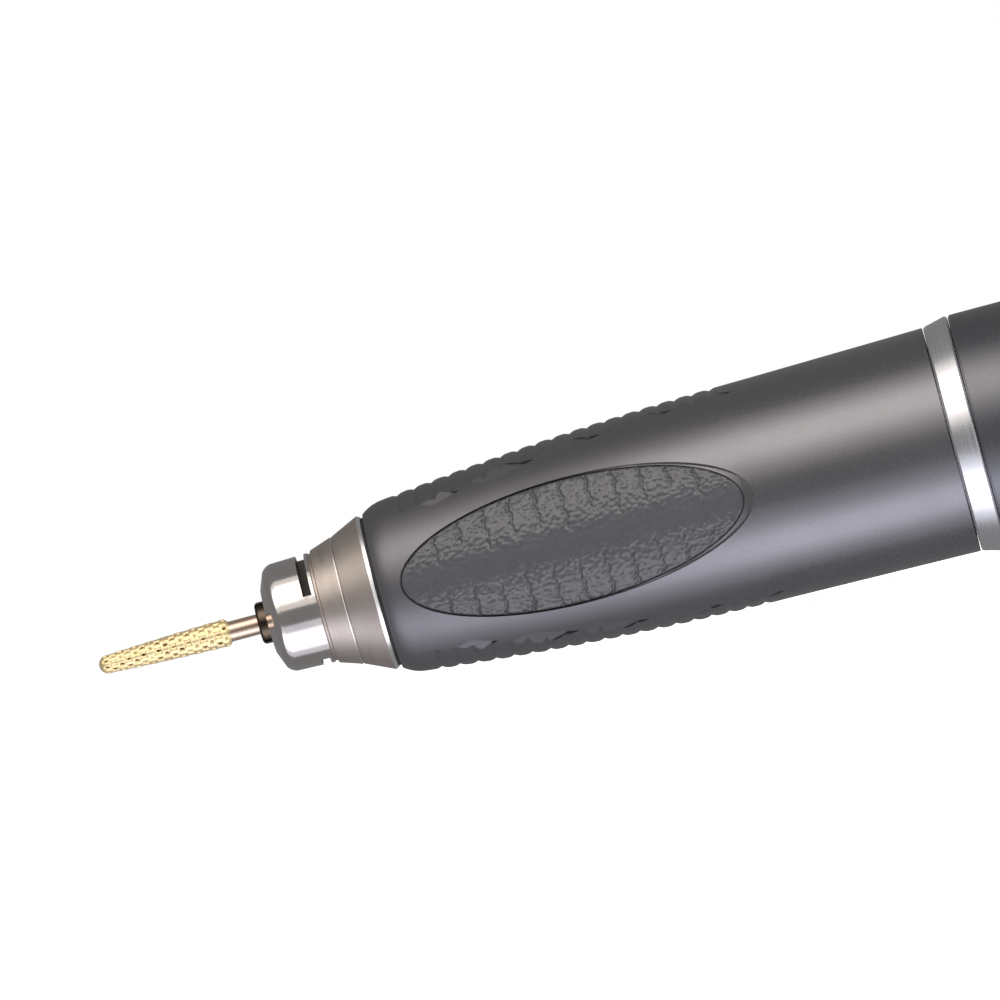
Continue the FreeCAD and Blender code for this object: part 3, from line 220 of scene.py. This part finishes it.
# Finishes, one for each material slot of the record. Lengths are in mm.
# rings: spacing of the turned lines round the axis. grain: size of the bumps of a cast, blasted or moulded
# skin. wires: pitch of the winding.
finishes = {
    "stainless_steel": {"name": "turned_stainless_steel", "colours": ("#cdc6c3", "#e6e2e0"), "metallic": 1.0,
                        "roughness": (0.2, 0.3), "rings": 0.16, "depth": 0.002, "blotch": 3.0},
    "cone_steel": {"name": "matt_turned_steel_cone_painted_rim_highlight", "colours": ("#aca19a", "#c1b8b2"), "metallic": 1.0,
                   "roughness": (0.4, 0.5), "rings": 0.16, "depth": 0.004, "blotch": 4.0,
                   # rear rim chamfer: its lighter colour is a painted highlight, its lower roughness is the
                   # chamfer's own finish
                   "zones": [{"from": 12.78, "to": 13.3, "colours": ("#e8e4e2", "#f6f4f2"),
                              "roughness": (0.24, 0.3)}]},
    "nose_steel": {"name": "polished_nose_matt_cone_painted_slot_shade_highlight", "colours": ("#cdc6c3", "#e6e2e0"), "metallic": 1.0,
                   "roughness": (0.1, 0.17), "rings": 0.16, "depth": 0.002, "blotch": 3.0,
                   # painted shade: a darker colour inside the spanner slots, nearer to the axis than the
                   # barrel
                   "zones": [{"from": 4.7, "to": 6.0, "within": 6.3, "colours": ("#635b56", "#7d756f"),
                              "roughness": (0.3, 0.4)},
                             {"from": 6.22, "to": 9.21, "colours": ("#aca19a", "#c1b8b2"),
                              "roughness": (0.4, 0.5)},
                             # painted highlight: a lighter colour on the edge at the joint; the lower
                             # roughness is the edge's own finish
                             {"from": 9.21, "to": 9.5, "colours": ("#dcd6d2", "#ece8e5"),
                              "roughness": (0.24, 0.3)}]},
    "bright_chrome": {"name": "fine_turned_chromed_ring", "colours": ("#dddce1", "#ececf0"), "metallic": 1.0,
                      "roughness": (0.22, 0.3), "rings": 0.2, "depth": 0.002, "blotch": 4.0},
    "tool_steel": {"name": "ground_tool_steel", "colours": ("#83858a", "#a3a5a8"), "metallic": 1.0,
                   "roughness": (0.22, 0.36), "rings": 0.12, "depth": 0.003, "blotch": 4.0},
    "bearing_steel": {"name": "honed_bearing_steel", "colours": ("#b5b8bc", "#cccfd2"), "metallic": 1.0,
                      "roughness": (0.08, 0.16), "rings": 0.1, "depth": 0.001, "blotch": 3.0},
    "black_steel": {"name": "oil_blacked_collet_steel", "colours": ("#4a423a", "#625548"), "metallic": 1.0,
                    "roughness": (0.12, 0.2), "rings": 0.18, "depth": 0.002, "blotch": 2.0},
    "spring_steel": {"name": "tempered_spring_steel", "colours": ("#5d5a5c", "#7d8088"), "metallic": 1.0,
                     "roughness": (0.25, 0.4), "rings": 0.25, "depth": 0.002, "blotch": 2.5},
    "plain_aluminium": {"name": "turned_aluminium", "colours": ("#a9abad", "#c3c5c6"), "metallic": 1.0,
                        "roughness": (0.3, 0.45), "rings": 0.3, "depth": 0.006, "blotch": 6.0},
    "magnet_nickel": {"name": "nickel_plated_magnet", "colours": ("#b0aa9c", "#c6c0b2"), "metallic": 1.0,
                      "roughness": (0.18, 0.28), "grain": 0.3, "depth": 0.002, "blotch": 4.0},
    "yellow_brass": {"name": "turned_brass", "colours": ("#b8934c", "#d0ad68"), "metallic": 1.0,
                     "roughness": (0.22, 0.34), "rings": 0.25, "depth": 0.004, "blotch": 3.0},
    "gold_contact": {"name": "gold_plated_contact", "colours": ("#d9b25a", "#e8c878"), "metallic": 1.0,
                     "roughness": (0.16, 0.25), "rings": 0.2, "depth": 0.002, "blotch": 1.0},
    "lamination_steel": {"name": "stacked_lamination_steel", "colours": ("#4d4c4e", "#757478"),
                         "metallic": 0.9, "roughness": (0.35, 0.55), "rings": 0.5, "depth": 0.03,
                         "blotch": 3.0},
    "coil_copper": {"name": "enamelled_copper_winding", "colours": ("#8a3f1c", "#b9642f"),
                    "metallic": 0.75, "roughness": (0.25, 0.4), "wires": 0.35, "depth": 0.05, "blotch": 2.0},
    "grey_housing": {"name": "satin_grey_anodised_housing", "colours": ("#706f73", "#79787c"),
                     "metallic": 0.85, "roughness": (0.24, 0.3), "grain": 0.28, "depth": 0.003, "blotch": 9.0,
                     # handling dulls the front, so it is rougher there; the darker tone towards the front is
                     # painted shade
                     "worn_and_shaded": {"from": 14.0, "to": 62.0, "extra": 0.15, "tone": 0.86}},
    "dark_housing": {"name": "satin_dark_anodised_case", "colours": ("#5e5e63", "#67676c"), "metallic": 0.8,
                     "roughness": (0.25, 0.32), "grain": 0.28, "depth": 0.003, "blotch": 9.0},
    "pad_rubber": {"name": "moulded_stone_grain_rubber", "colours": ("#424246", "#4f4f54"), "metallic": 0.0,
                   "roughness": (0.06, 0.18), "grain": 0.22, "depth": 0.012, "blotch": 0.7},
    "seal_rubber": {"name": "moulded_nitrile_rubber", "colours": ("#17171a", "#222226"), "metallic": 0.0,
                    "roughness": (0.5, 0.65), "grain": 0.15, "depth": 0.006, "blotch": 2.0},
    "cage_resin": {"name": "phenolic_resin_cage", "colours": ("#9a6c33", "#b98a4a"), "metallic": 0.0,
                   "roughness": (0.45, 0.6), "grain": 0.12, "depth": 0.01, "blotch": 1.2},
    "coupling_plastic": {"name": "machined_natural_acetal", "colours": ("#e4dfd0", "#efebdf"),
                         "metallic": 0.0, "roughness": (0.35, 0.5), "rings": 0.2, "depth": 0.004,
                         "blotch": 3.0},
    "black_plastic": {"name": "moulded_black_polymer", "colours": ("#1a1a1c", "#26262a"), "metallic": 0.0,
                      "roughness": (0.38, 0.5), "grain": 0.25, "depth": 0.005, "blotch": 3.0},
    "board_laminate": {"name": "green_masked_glass_laminate", "colours": ("#0f4a2c", "#196a3f"),
                       "metallic": 0.0, "roughness": (0.3, 0.42), "grain": 0.5, "depth": 0.006,
                       "blotch": 1.5},
}
noiseSpan = (0.3, 0.7)          # most values of a noise lie in it
roundAxis = (1.0, 0.02, 0.02)   # draws noise out into lines round the axis
waveScale = 6.5                 # makes a band of the wave about two wires wide


def toneAndRoughness(tree, spec, blotch, relief):
    tone = add(tree, "ShaderNodeMix", {"data_type": "RGBA"},
               {6: linear(spec["colours"][0]), 7: linear(spec["colours"][1])}, {0: (blotch, 0)})
    low, high = spec["roughness"]
    rough = add(tree, "ShaderNodeMapRange", None,
                {"From Min": noiseSpan[0], "From Max": noiseSpan[1], "To Min": low, "To Max": high},
                {"Value": (relief, 0)})
    return tone, rough


def zoneMask(tree, zone, place):
    # 1 between two stations, and where asked only nearer to the axis than a radius
    split = add(tree, "ShaderNodeSeparateXYZ", None, None, {0: (place, "Object")})
    behind = add(tree, "ShaderNodeMath", {"operation": "GREATER_THAN"}, {1: planeAt(zone["from"])},
                 {0: (split, "X")})
    ahead = add(tree, "ShaderNodeMath", {"operation": "LESS_THAN"}, {1: planeAt(zone["to"])},
                {0: (split, "X")})
    both = add(tree, "ShaderNodeMath", {"operation": "MULTIPLY"}, None, {0: (behind, 0), 1: (ahead, 0)})
    if "within" not in zone:
        return both
    section = add(tree, "ShaderNodeMapping", None, {"Scale": (0.0, 1.0, 1.0)}, {"Vector": (place, "Object")})
    radius = add(tree, "ShaderNodeVectorMath", {"operation": "LENGTH"}, None, {0: (section, 0)})
    near = add(tree, "ShaderNodeMath", {"operation": "LESS_THAN"}, {1: zone["within"] * mm},
               {0: (radius, "Value")})
    return add(tree, "ShaderNodeMath", {"operation": "MULTIPLY"}, None, {0: (both, 0), 1: (near, 0)})


def closeSurface(tree, metallic, tone, rough, relief, strength, height):    # bump, shader and output
    bump = add(tree, "ShaderNodeBump", None, {"Strength": strength, "Distance": height * mm},
               {"Height": (relief, 0)})
    shader = add(tree, "ShaderNodeBsdfPrincipled", None, {"Metallic": metallic},
                 {"Base Color": (tone, 2), "Roughness": (rough, 0), "Normal": (bump, 0)})
    add(tree, "ShaderNodeOutputMaterial", None, None, {"Surface": (shader, 0)})


def finishMaterial(slot):
    # colour: two tones mixed by soft blotches. Relief: noise squeezed along the axis for turned lines,
    # bands for wound wire, round noise for grain. Roughness follows the relief.
    spec = finishes[slot]
    material = bpy.data.materials.new(spec["name"])
    tree = blankTree(material)
    place = add(tree, "ShaderNodeTexCoord")
    blotch = add(tree, "ShaderNodeTexNoise", None,
                 {"Scale": 1 / (spec["blotch"] * mm), "Detail": 3.0, "Roughness": 0.55},
                 {"Vector": (place, "Object")})
    if "rings" in spec:
        squeeze = add(tree, "ShaderNodeMapping", None, {"Scale": roundAxis}, {"Vector": (place, "Object")})
        relief = add(tree, "ShaderNodeTexNoise", None,
                     {"Scale": 1 / (spec["rings"] * mm), "Detail": 2.0, "Roughness": 0.6},
                     {"Vector": (squeeze, 0)})
    elif "wires" in spec:
        relief = add(tree, "ShaderNodeTexWave", {"bands_direction": "Z"},
                     {"Scale": 1 / (spec["wires"] * mm * waveScale), "Distortion": 0.4},
                     {"Vector": (place, "Object")})
    else:
        relief = add(tree, "ShaderNodeTexNoise", None,
                     {"Scale": 1 / (spec["grain"] * mm), "Detail": 2.5, "Roughness": 0.6},
                     {"Vector": (place, "Object")})
    tone, rough = toneAndRoughness(tree, spec, blotch, relief)
    for zone in spec.get("zones", []):
        zoneTone, zoneRough = toneAndRoughness(tree, zone, blotch, relief)
        inside = zoneMask(tree, zone, place)
        tone = add(tree, "ShaderNodeMix", {"data_type": "RGBA"}, None,
                   {0: (inside, 0), 6: (tone, 2), 7: (zoneTone, 2)})
        rough = add(tree, "ShaderNodeMix", {"data_type": "FLOAT"}, None,
                    {0: (inside, 0), 2: (rough, 0), 3: (zoneRough, 0)})
    if "worn_and_shaded" in spec:
        worn_and_shaded = spec["worn_and_shaded"]
        split = add(tree, "ShaderNodeSeparateXYZ", None, None, {0: (place, "Object")})
        share = add(tree, "ShaderNodeMapRange", None,
                    {"From Min": planeAt(worn_and_shaded["from"]), "From Max": planeAt(worn_and_shaded["to"]),
                     "To Min": 1.0, "To Max": 0.0}, {"Value": (split, "X")})
        rough = add(tree, "ShaderNodeMath", {"operation": "MULTIPLY_ADD"}, {1: worn_and_shaded["extra"]},
                    {0: (share, 0), 2: (rough, 0)})
        # painted shade: the colour darkens towards the front of the grip
        front_shade = worn_and_shaded["tone"]
        tone = add(tree, "ShaderNodeMix", {"data_type": "RGBA", "blend_type": "MULTIPLY"},
                   {7: (front_shade, front_shade, front_shade, 1)}, {0: (share, 0), 6: (tone, 2)})
    closeSurface(tree, spec["metallic"], tone, rough, relief, 0.6, spec["depth"])
    return material


nodeSlots = {part["node"]: part["material_slot"] for part in frame["record"]["subparts"]}
nodeSlots["bearing_sleeve"] = "cone_steel"
nodeSlots["nose_cap"] = "nose_steel"
made = {slot: finishMaterial(slot) for slot in finishes}
for nodeName, obj in nodes.items():
    if nodeSlots.get(nodeName) in made:
        obj.data.materials.clear()
        obj.data.materials.append(made[nodeSlots[nodeName]])
print("stage: finishes on the CAD nodes")


def meshObject(name, points, faces, material, body):    # puts computed points and faces into a smooth mesh
    mesh = bpy.data.meshes.new(name)
    mesh.from_pydata(points.tolist(), [], faces)
    mesh.polygons.foreach_set("use_smooth", np.ones(len(mesh.polygons), bool))
    mesh.materials.append(material)
    mesh.update()
    obj = bpy.data.objects.new(name, mesh)
    bpy.context.scene.collection.objects.link(obj)
    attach(obj, body)
    return obj


def ringedFaces(rings, around):    # quads between closed rings, then a fan to the pole at each end
    row = np.arange(rings - 1)[:, None] * around
    col = np.arange(around)[None, :]
    nxt = (col + 1) % around
    quads = np.stack([row + col, row + around + col, row + around + nxt, row + nxt], axis=-1).reshape(-1, 4)
    first, last = rings * around, rings * around + 1
    turn = np.arange(around)
    front = np.stack([np.full(around, first), turn, (turn + 1) % around], axis=-1)
    start = (rings - 1) * around
    rear = np.stack([np.full(around, last), start + (turn + 1) % around, start + turn], axis=-1)
    return quads.tolist() + front.tolist() + rear.tolist()


# Bur: gold-coated carbide, cross-cut
burSetup = {
    "tip": -20.2, "tipRadius": 1.07, "headEnd": -4.6, "headRadius": 1.6, "bulge": 0.06, "shankRadius": 1.175,
    "end": 24.3, "endBevel": 0.3, "shankFrom": -4.62, "neckBend": (0.5, 0.45), "neckStep": (0.05, 0.02),
    "starts": 8, "lead": 14.2, "sharpness": 4, "pitSharpness": 1.9, "depth": 0.05, "pitDepth": 0.25,
    "seed": 5, "pitWeights": (0.2, 1.0), "pitRows": 40,
    "fades": (0.9, 0.4, 0.25),    # from the tip, then before the neck: its share of the neck, and its length
    "around": 200, "headRows": 330, "tipRows": 26, "tipAngle": 0.08,
    # pit and pitShade: painted shade, a dark brown laid into the pits according to their depth
    "gold": "#ecd196", "paleGold": "#fbeac0", "pit": "#5d4722", "pitShade": (0.25, 0.75),
    "shank": ("#c3a893", "#dcc6b4"), "roughHead": 0.46, "roughShank": 0.1,
    "speck": 3200.0, "shankLines": 6000.0, "bump": 0.004,
}


def burMesh(setup):
    # radius: half circle at the tip, then a slightly bowed cone, a short neck and a plain shank.
    # teeth: two families of helical notches, right and left hand, each the peak of a cosine raised to a
    # power, taken off the radius. Where they cross, the product of the two cosines makes a pit, whose depth
    # a random table varies. Both fade out at the tip and at the neck.
    tip, end = setup["tip"], setup["headEnd"]
    tipRadius, headRadius, shank = setup["tipRadius"], setup["headRadius"], setup["shankRadius"]
    neck, bevel = headRadius - shank, setup["endBevel"]
    bend, step = setup["neckBend"], setup["neckStep"]
    arc = np.linspace(setup["tipAngle"], math.pi / 2, setup["tipRows"])
    roundEnd = np.stack([tip + tipRadius * (1 - np.cos(arc)), tipRadius * np.sin(arc)], 1)
    share = np.linspace(0, 1, setup["headRows"])[1:]
    bulge = setup["bulge"] * 4 * share * (1 - share)
    side = np.stack([tip + tipRadius + share * (end - neck - tip - tipRadius),
                     tipRadius + share * (headRadius - tipRadius) + bulge], 1)
    rest = np.array([[end - neck * bend[0], headRadius - neck * bend[1]], [end, shank + step[1]],
                     [end + step[0], shank], [0, shank],
                     [setup["end"] - bevel, shank], [setup["end"], shank - bevel]])
    profile = np.concatenate([roundEnd, side, rest])
    station, radius = profile[:, :1], profile[:, 1:]
    turn = np.linspace(0, 2 * math.pi, setup["around"], endpoint=False)[None, :]
    along = (station - tip) * 2 * math.pi / setup["lead"]
    phases = [setup["starts"] * (turn + way * along) for way in (1, -1)]
    right, left = [0.5 + 0.5 * np.cos(phase) for phase in phases]
    cells = [np.round(phase / (2 * math.pi)).astype(int) % setup["starts"] for phase in phases]
    row = np.round(along * setup["starts"] / math.pi).astype(int) % setup["pitRows"]
    size = (setup["starts"], setup["starts"], setup["pitRows"])
    weight = np.random.default_rng(setup["seed"]).uniform(*setup["pitWeights"], size)[cells[0], cells[1], row]
    fromTip, neckShare, beforeNeck = setup["fades"]
    fade = np.clip((station - tip) / fromTip, 0, 1)
    fade = fade * np.clip((end - neck * neckShare - station) / beforeNeck, 0, 1)
    cut = fade * (setup["depth"] * np.maximum(right, left) ** setup["sharpness"]
                  + setup["pitDepth"] * weight * (right * left) ** setup["pitSharpness"])
    r = (radius - cut) * mm
    x = np.broadcast_to(stationToX(station), r.shape)
    points = np.stack([x, r * np.sin(turn), r * np.cos(turn)], axis=-1).reshape(-1, 3)
    poles = np.array([[planeAt(tip), 0, 0], [planeAt(setup["end"]), 0, 0]])
    return np.concatenate([points, poles]), (cut / (setup["depth"] + setup["pitDepth"])).ravel(), profile


def burMaterial(setup):
    # carbide with a thin nitride coat: pale gold on the teeth, painted brown shade in the pits, rose-tinted
    # steel shank
    material = bpy.data.materials.new("nitride_coated_carbide")
    tree = blankTree(material)
    place = add(tree, "ShaderNodeTexCoord")
    split = add(tree, "ShaderNodeSeparateXYZ", None, None, {0: (place, "Object")})
    onShank = add(tree, "ShaderNodeMath", {"operation": "GREATER_THAN"},
                  {1: planeAt(setup["shankFrom"])}, {0: (split, "X")})
    speck = add(tree, "ShaderNodeTexNoise", None, {"Scale": setup["speck"], "Detail": 2.0},
                {"Vector": (place, "Object")})
    gold = add(tree, "ShaderNodeMix", {"data_type": "RGBA"},
               {6: linear(setup["gold"]), 7: linear(setup["paleGold"])}, {0: (speck, 0)})
    # painted shade: the deeper the cut, the more the pit colour darkens the gold
    depth = add(tree, "ShaderNodeAttribute", {"attribute_name": "cut"})
    shallow, deep = setup["pitShade"]
    shade = add(tree, "ShaderNodeMapRange", None, {"From Min": shallow, "From Max": deep},
                {"Value": (depth, "Fac")})
    teeth = add(tree, "ShaderNodeMix", {"data_type": "RGBA"}, {7: linear(setup["pit"])},
                {0: (shade, 0), 6: (gold, 2)})
    squeeze = add(tree, "ShaderNodeMapping", None, {"Scale": roundAxis}, {"Vector": (place, "Object")})
    lines = add(tree, "ShaderNodeTexNoise", None, {"Scale": setup["shankLines"], "Detail": 1.0},
                {"Vector": (squeeze, 0)})
    steel = add(tree, "ShaderNodeMix", {"data_type": "RGBA"},
                {6: linear(setup["shank"][0]), 7: linear(setup["shank"][1])}, {0: (lines, 0)})
    colour = add(tree, "ShaderNodeMix", {"data_type": "RGBA"}, None,
                 {0: (onShank, 0), 6: (teeth, 2), 7: (steel, 2)})
    rough = add(tree, "ShaderNodeMapRange", None,
                {"To Min": setup["roughHead"], "To Max": setup["roughShank"]}, {"Value": (onShank, 0)})
    closeSurface(tree, 0.9, colour, rough, speck, 0.5, setup["bump"])
    return material


def makeBur(setup):
    points, cut, profile = burMesh(setup)
    faces = ringedFaces(len(profile), setup["around"])
    bur = meshObject("cross_cut_bur", points, faces, burMaterial(setup), "bur")
    depth = bur.data.attributes.new("cut", "FLOAT", "POINT")
    depth.data.foreach_set("value", np.concatenate([cut, [0, 0]]).astype(np.float32))
    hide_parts("bur")


makeBur(burSetup)
print("stage: bur")

# Grip pads: stone-grained rubber with cross grooves, let into the sides of the grip
padSetup = {
    "centre": 36.5, "halfLength": 20.215, "halfHeight": 7.09,
    "sink": 0.065, "rearSink": 0.5, "dipStation": 45.0, "floorDepth": 0.975,
    "edge": 0.14, "edgeDrop": 0.45, "flatFrom": 0.35,    # the last is a share of the edge
    "groovePitch": 3.1, "grooveCount": 12, "grooveWidth": 0.34, "grooveDepth": 0.2, "grooveSharpness": 1.7,
    "groovesFrom": 0.9, "grooveStagger": 1.4, "grooveFade": 1.0, "endMargin": 0.3, "grooveSmooths": 0.7,
    # size, waves along the groove, shift from one groove to the next
    "wobbles": ((0.14, 3.1, 2.4), (0.09, 8.3, -4.1)),
    "grain": 0.46, "grainHeight": 0.16, "grainSeed": 11,
    "fineGrain": 0.28, "fineHeight": 0.05, "fineSeed": 23,
    "grainFrom": 0.6, "grainFade": 1.4, "grainLeast": 0.25,    # the grain is weak along the middle of the pad
    "columns": 340, "rows": 122,
}
gripOutline = ((15.8, 10.11), (34.5, 11.87), (58.0, 12.81))    # three points of the grip's bowed outline
grainTable = 128
grainReach = 0.8


def gripRadius(station):    # circle through the three points
    (ax, ay), (bx, by), (cx, cy) = gripOutline
    a, b, c = ax ** 2 + ay ** 2, bx ** 2 + by ** 2, cx ** 2 + cy ** 2
    d = 2 * (ax * (by - cy) + bx * (cy - ay) + cx * (ay - by))
    ux = (a * (by - cy) + b * (cy - ay) + c * (ay - by)) / d
    uy = (a * (cx - bx) + b * (ax - cx) + c * (bx - ax)) / d
    return uy + np.sqrt((ax - ux) ** 2 + (ay - uy) ** 2 - (station - ux) ** 2)


def grains(a, b, size, seed):
    # granular relief: each cell of a square lattice holds one grain with a random centre and a random
    # height t, and each point takes the highest of the domes t (1 - (distance / reach)^2) round it
    random = np.random.default_rng(seed)
    shift = random.random((grainTable, grainTable, 2))
    tall = random.random((grainTable, grainTable))
    p, q = a / size, b / size
    cellP, cellQ = np.floor(p).astype(int), np.floor(q).astype(int)
    relief = np.zeros(p.shape)
    for i in (-1, 0, 1):
        for j in (-1, 0, 1):
            m, n = (cellP + i) % grainTable, (cellQ + j) % grainTable
            gap = np.hypot(cellP + i + shift[m, n, 0] - p, cellQ + j + shift[m, n, 1] - q)
            relief = np.maximum(relief, tall[m, n] * (1 - (gap / grainReach) ** 2))
    return relief


def padMesh(setup, side):
    # a square grid bent into a disc (x = u sqrt(1 - v2/2), y = v sqrt(1 - u2/2)) and stretched to the oval;
    # each point is then pushed sideways onto the grip's round side, with grooves and grain on top
    u, v = np.meshgrid(np.linspace(-1, 1, setup["columns"]), np.linspace(-1, 1, setup["rows"]), indexing="ij")
    x = u * np.sqrt(1 - v ** 2 / 2)
    y = v * np.sqrt(1 - u ** 2 / 2)
    station = setup["centre"] + setup["halfLength"] * x
    z = setup["halfHeight"] * y
    inward = (1 - np.hypot(x, y)) * setup["halfHeight"]
    rim = np.clip(inward / setup["edge"], 0, 1)
    rounding = setup["edge"] * setup["edgeDrop"] * (1 - np.sqrt(1 - (1 - rim) ** 2))
    phase = (station - setup["centre"]) / setup["groovePitch"] + setup["grooveCount"] / 2
    number = np.round(phase)
    wobble = sum(size * np.sin(z * waves + number * shift) for size, waves, shift in setup["wobbles"])
    near = np.abs((phase - number) * setup["groovePitch"] + wobble)
    groove = np.exp(-(near / setup["grooveWidth"] * setup["grooveSharpness"]) ** 2)
    begin = setup["groovesFrom"] + setup["grooveStagger"] * np.sin(number * 1.9 + np.sign(z)) ** 2    # uneven
    inside = (phase > setup["endMargin"]) & (phase < setup["grooveCount"] - setup["endMargin"])
    groove = groove * inside * np.clip((np.abs(z) - begin) / setup["grooveFade"], 0, 1)
    grain = setup["grainHeight"] * grains(station, z, setup["grain"], setup["grainSeed"])
    grain += setup["fineHeight"] * grains(station, z, setup["fineGrain"], setup["fineSeed"])
    grain *= np.clip((np.abs(z) - setup["grainFrom"]) / setup["grainFade"], setup["grainLeast"], 1)
    flat = np.clip((rim - setup["flatFrom"]) / (1 - setup["flatFrom"]), 0, 1)
    relief = flat * (grain * (1 - setup["grooveSmooths"] * groove) - setup["grooveDepth"] * groove)
    rearEnd = setup["centre"] + setup["halfLength"]
    dip = np.clip((station - setup["dipStation"]) / (rearEnd - setup["dipStation"]), 0, 1)
    sink = setup["sink"] + dip * (setup["rearSink"] - setup["sink"])
    top = gripRadius(station) - sink - setup["grainHeight"] - setup["fineHeight"] - rounding + relief
    floor = gripRadius(station) - setup["floorDepth"]
    layers = []
    for radius in (top, floor):
        depth = np.sqrt(np.maximum(radius, 1.0) ** 2 - z ** 2)
        points = np.stack([stationToX(station), side * depth * mm, z * mm], axis=-1)
        layers.append(points.reshape(-1, 3))
    return np.concatenate(layers)


def padFaces(columns, rows, side):    # the top sheet, the floor sheet and the wall that joins their edges
    index = np.arange(columns * rows).reshape(columns, rows)
    quads = np.stack([index[:-1, :-1], index[1:, :-1], index[1:, 1:], index[:-1, 1:]], axis=-1).reshape(-1, 4)
    loop = np.concatenate([index[:-1, 0], index[-1, :-1], index[:0:-1, -1], index[0, :0:-1]])
    after = np.roll(loop, -1)
    wall = np.stack([loop, loop + columns * rows, after + columns * rows, after], axis=-1)
    faces = np.concatenate([quads, quads[:, ::-1] + columns * rows, wall])
    return (faces if side < 0 else faces[:, ::-1]).tolist()


for side, nodeName in ((-1, "grip_pad_left"), (1, "grip_pad_right")):
    pad = meshObject("grained_" + nodeName, padMesh(padSetup, side),
                     padFaces(padSetup["columns"], padSetup["rows"], side), made["pad_rubber"], "handpiece")
    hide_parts(nodeName)
print("stage: grip pads")

# Collet spring: a coil of flat wire with ground ends, built between the ends of the CAD spring. The real
# spring shortens when the lock ring opens the collet.
springSetup = {
    "node": "collet_spring", "joint": "collet_slide",
    "turns": 5.48, "innerRadius": 3.3, "outerRadius": 4.8, "wire": 1.1,
    "tip": 0.1,        # the wire's thickness where it ends
    "corner": 0.4, "rows": 527, "around": 28,
    "shut": 0.885,     # share of its length that is left when the collet is open
}


def springMesh(setup, front, rear):
    # wire centre: a right-hand helix round the axis. Section: a rounded rectangle, both of its waves raised
    # to a power. The two end planes cut the wire, which thins from its full width to the tip.
    half, tip = setup["wire"] / 2, setup["tip"]
    share = np.linspace(0, 1, setup["rows"])[:, None]
    centre = front - half + tip + share * (rear - front + 2 * (half - tip))
    lower, upper = np.maximum(centre - half, front), np.minimum(centre + half, rear)
    turn = np.linspace(0, 2 * math.pi, setup["around"], endpoint=False)[None, :]
    waves = (np.cos(turn), np.sin(turn))
    outward, along = [np.sign(wave) * np.abs(wave) ** setup["corner"] for wave in waves]
    width = setup["outerRadius"] - setup["innerRadius"]
    radius = setup["innerRadius"] + width * (1 + outward) / 2
    station = (lower + upper) / 2 + (upper - lower) / 2 * along
    angle = share * setup["turns"] * 2 * math.pi
    points = np.stack([station, -radius * np.sin(angle), radius * np.cos(angle)], axis=-1)
    poles = points[[0, -1]].mean(axis=1)
    return np.concatenate([points.reshape(-1, 3), poles]) * mm


def makeSpring(setup):
    low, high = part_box(setup["node"])
    points = springMesh(setup, low.x / mm, high.x / mm)
    faces = ringedFaces(setup["rows"], setup["around"])
    spring = meshObject("flat_wire_spring", points, faces, made["spring_steel"], "spindle")
    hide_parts(setup["node"])
    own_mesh(spring)


makeSpring(springSetup)
print("stage: collet spring")
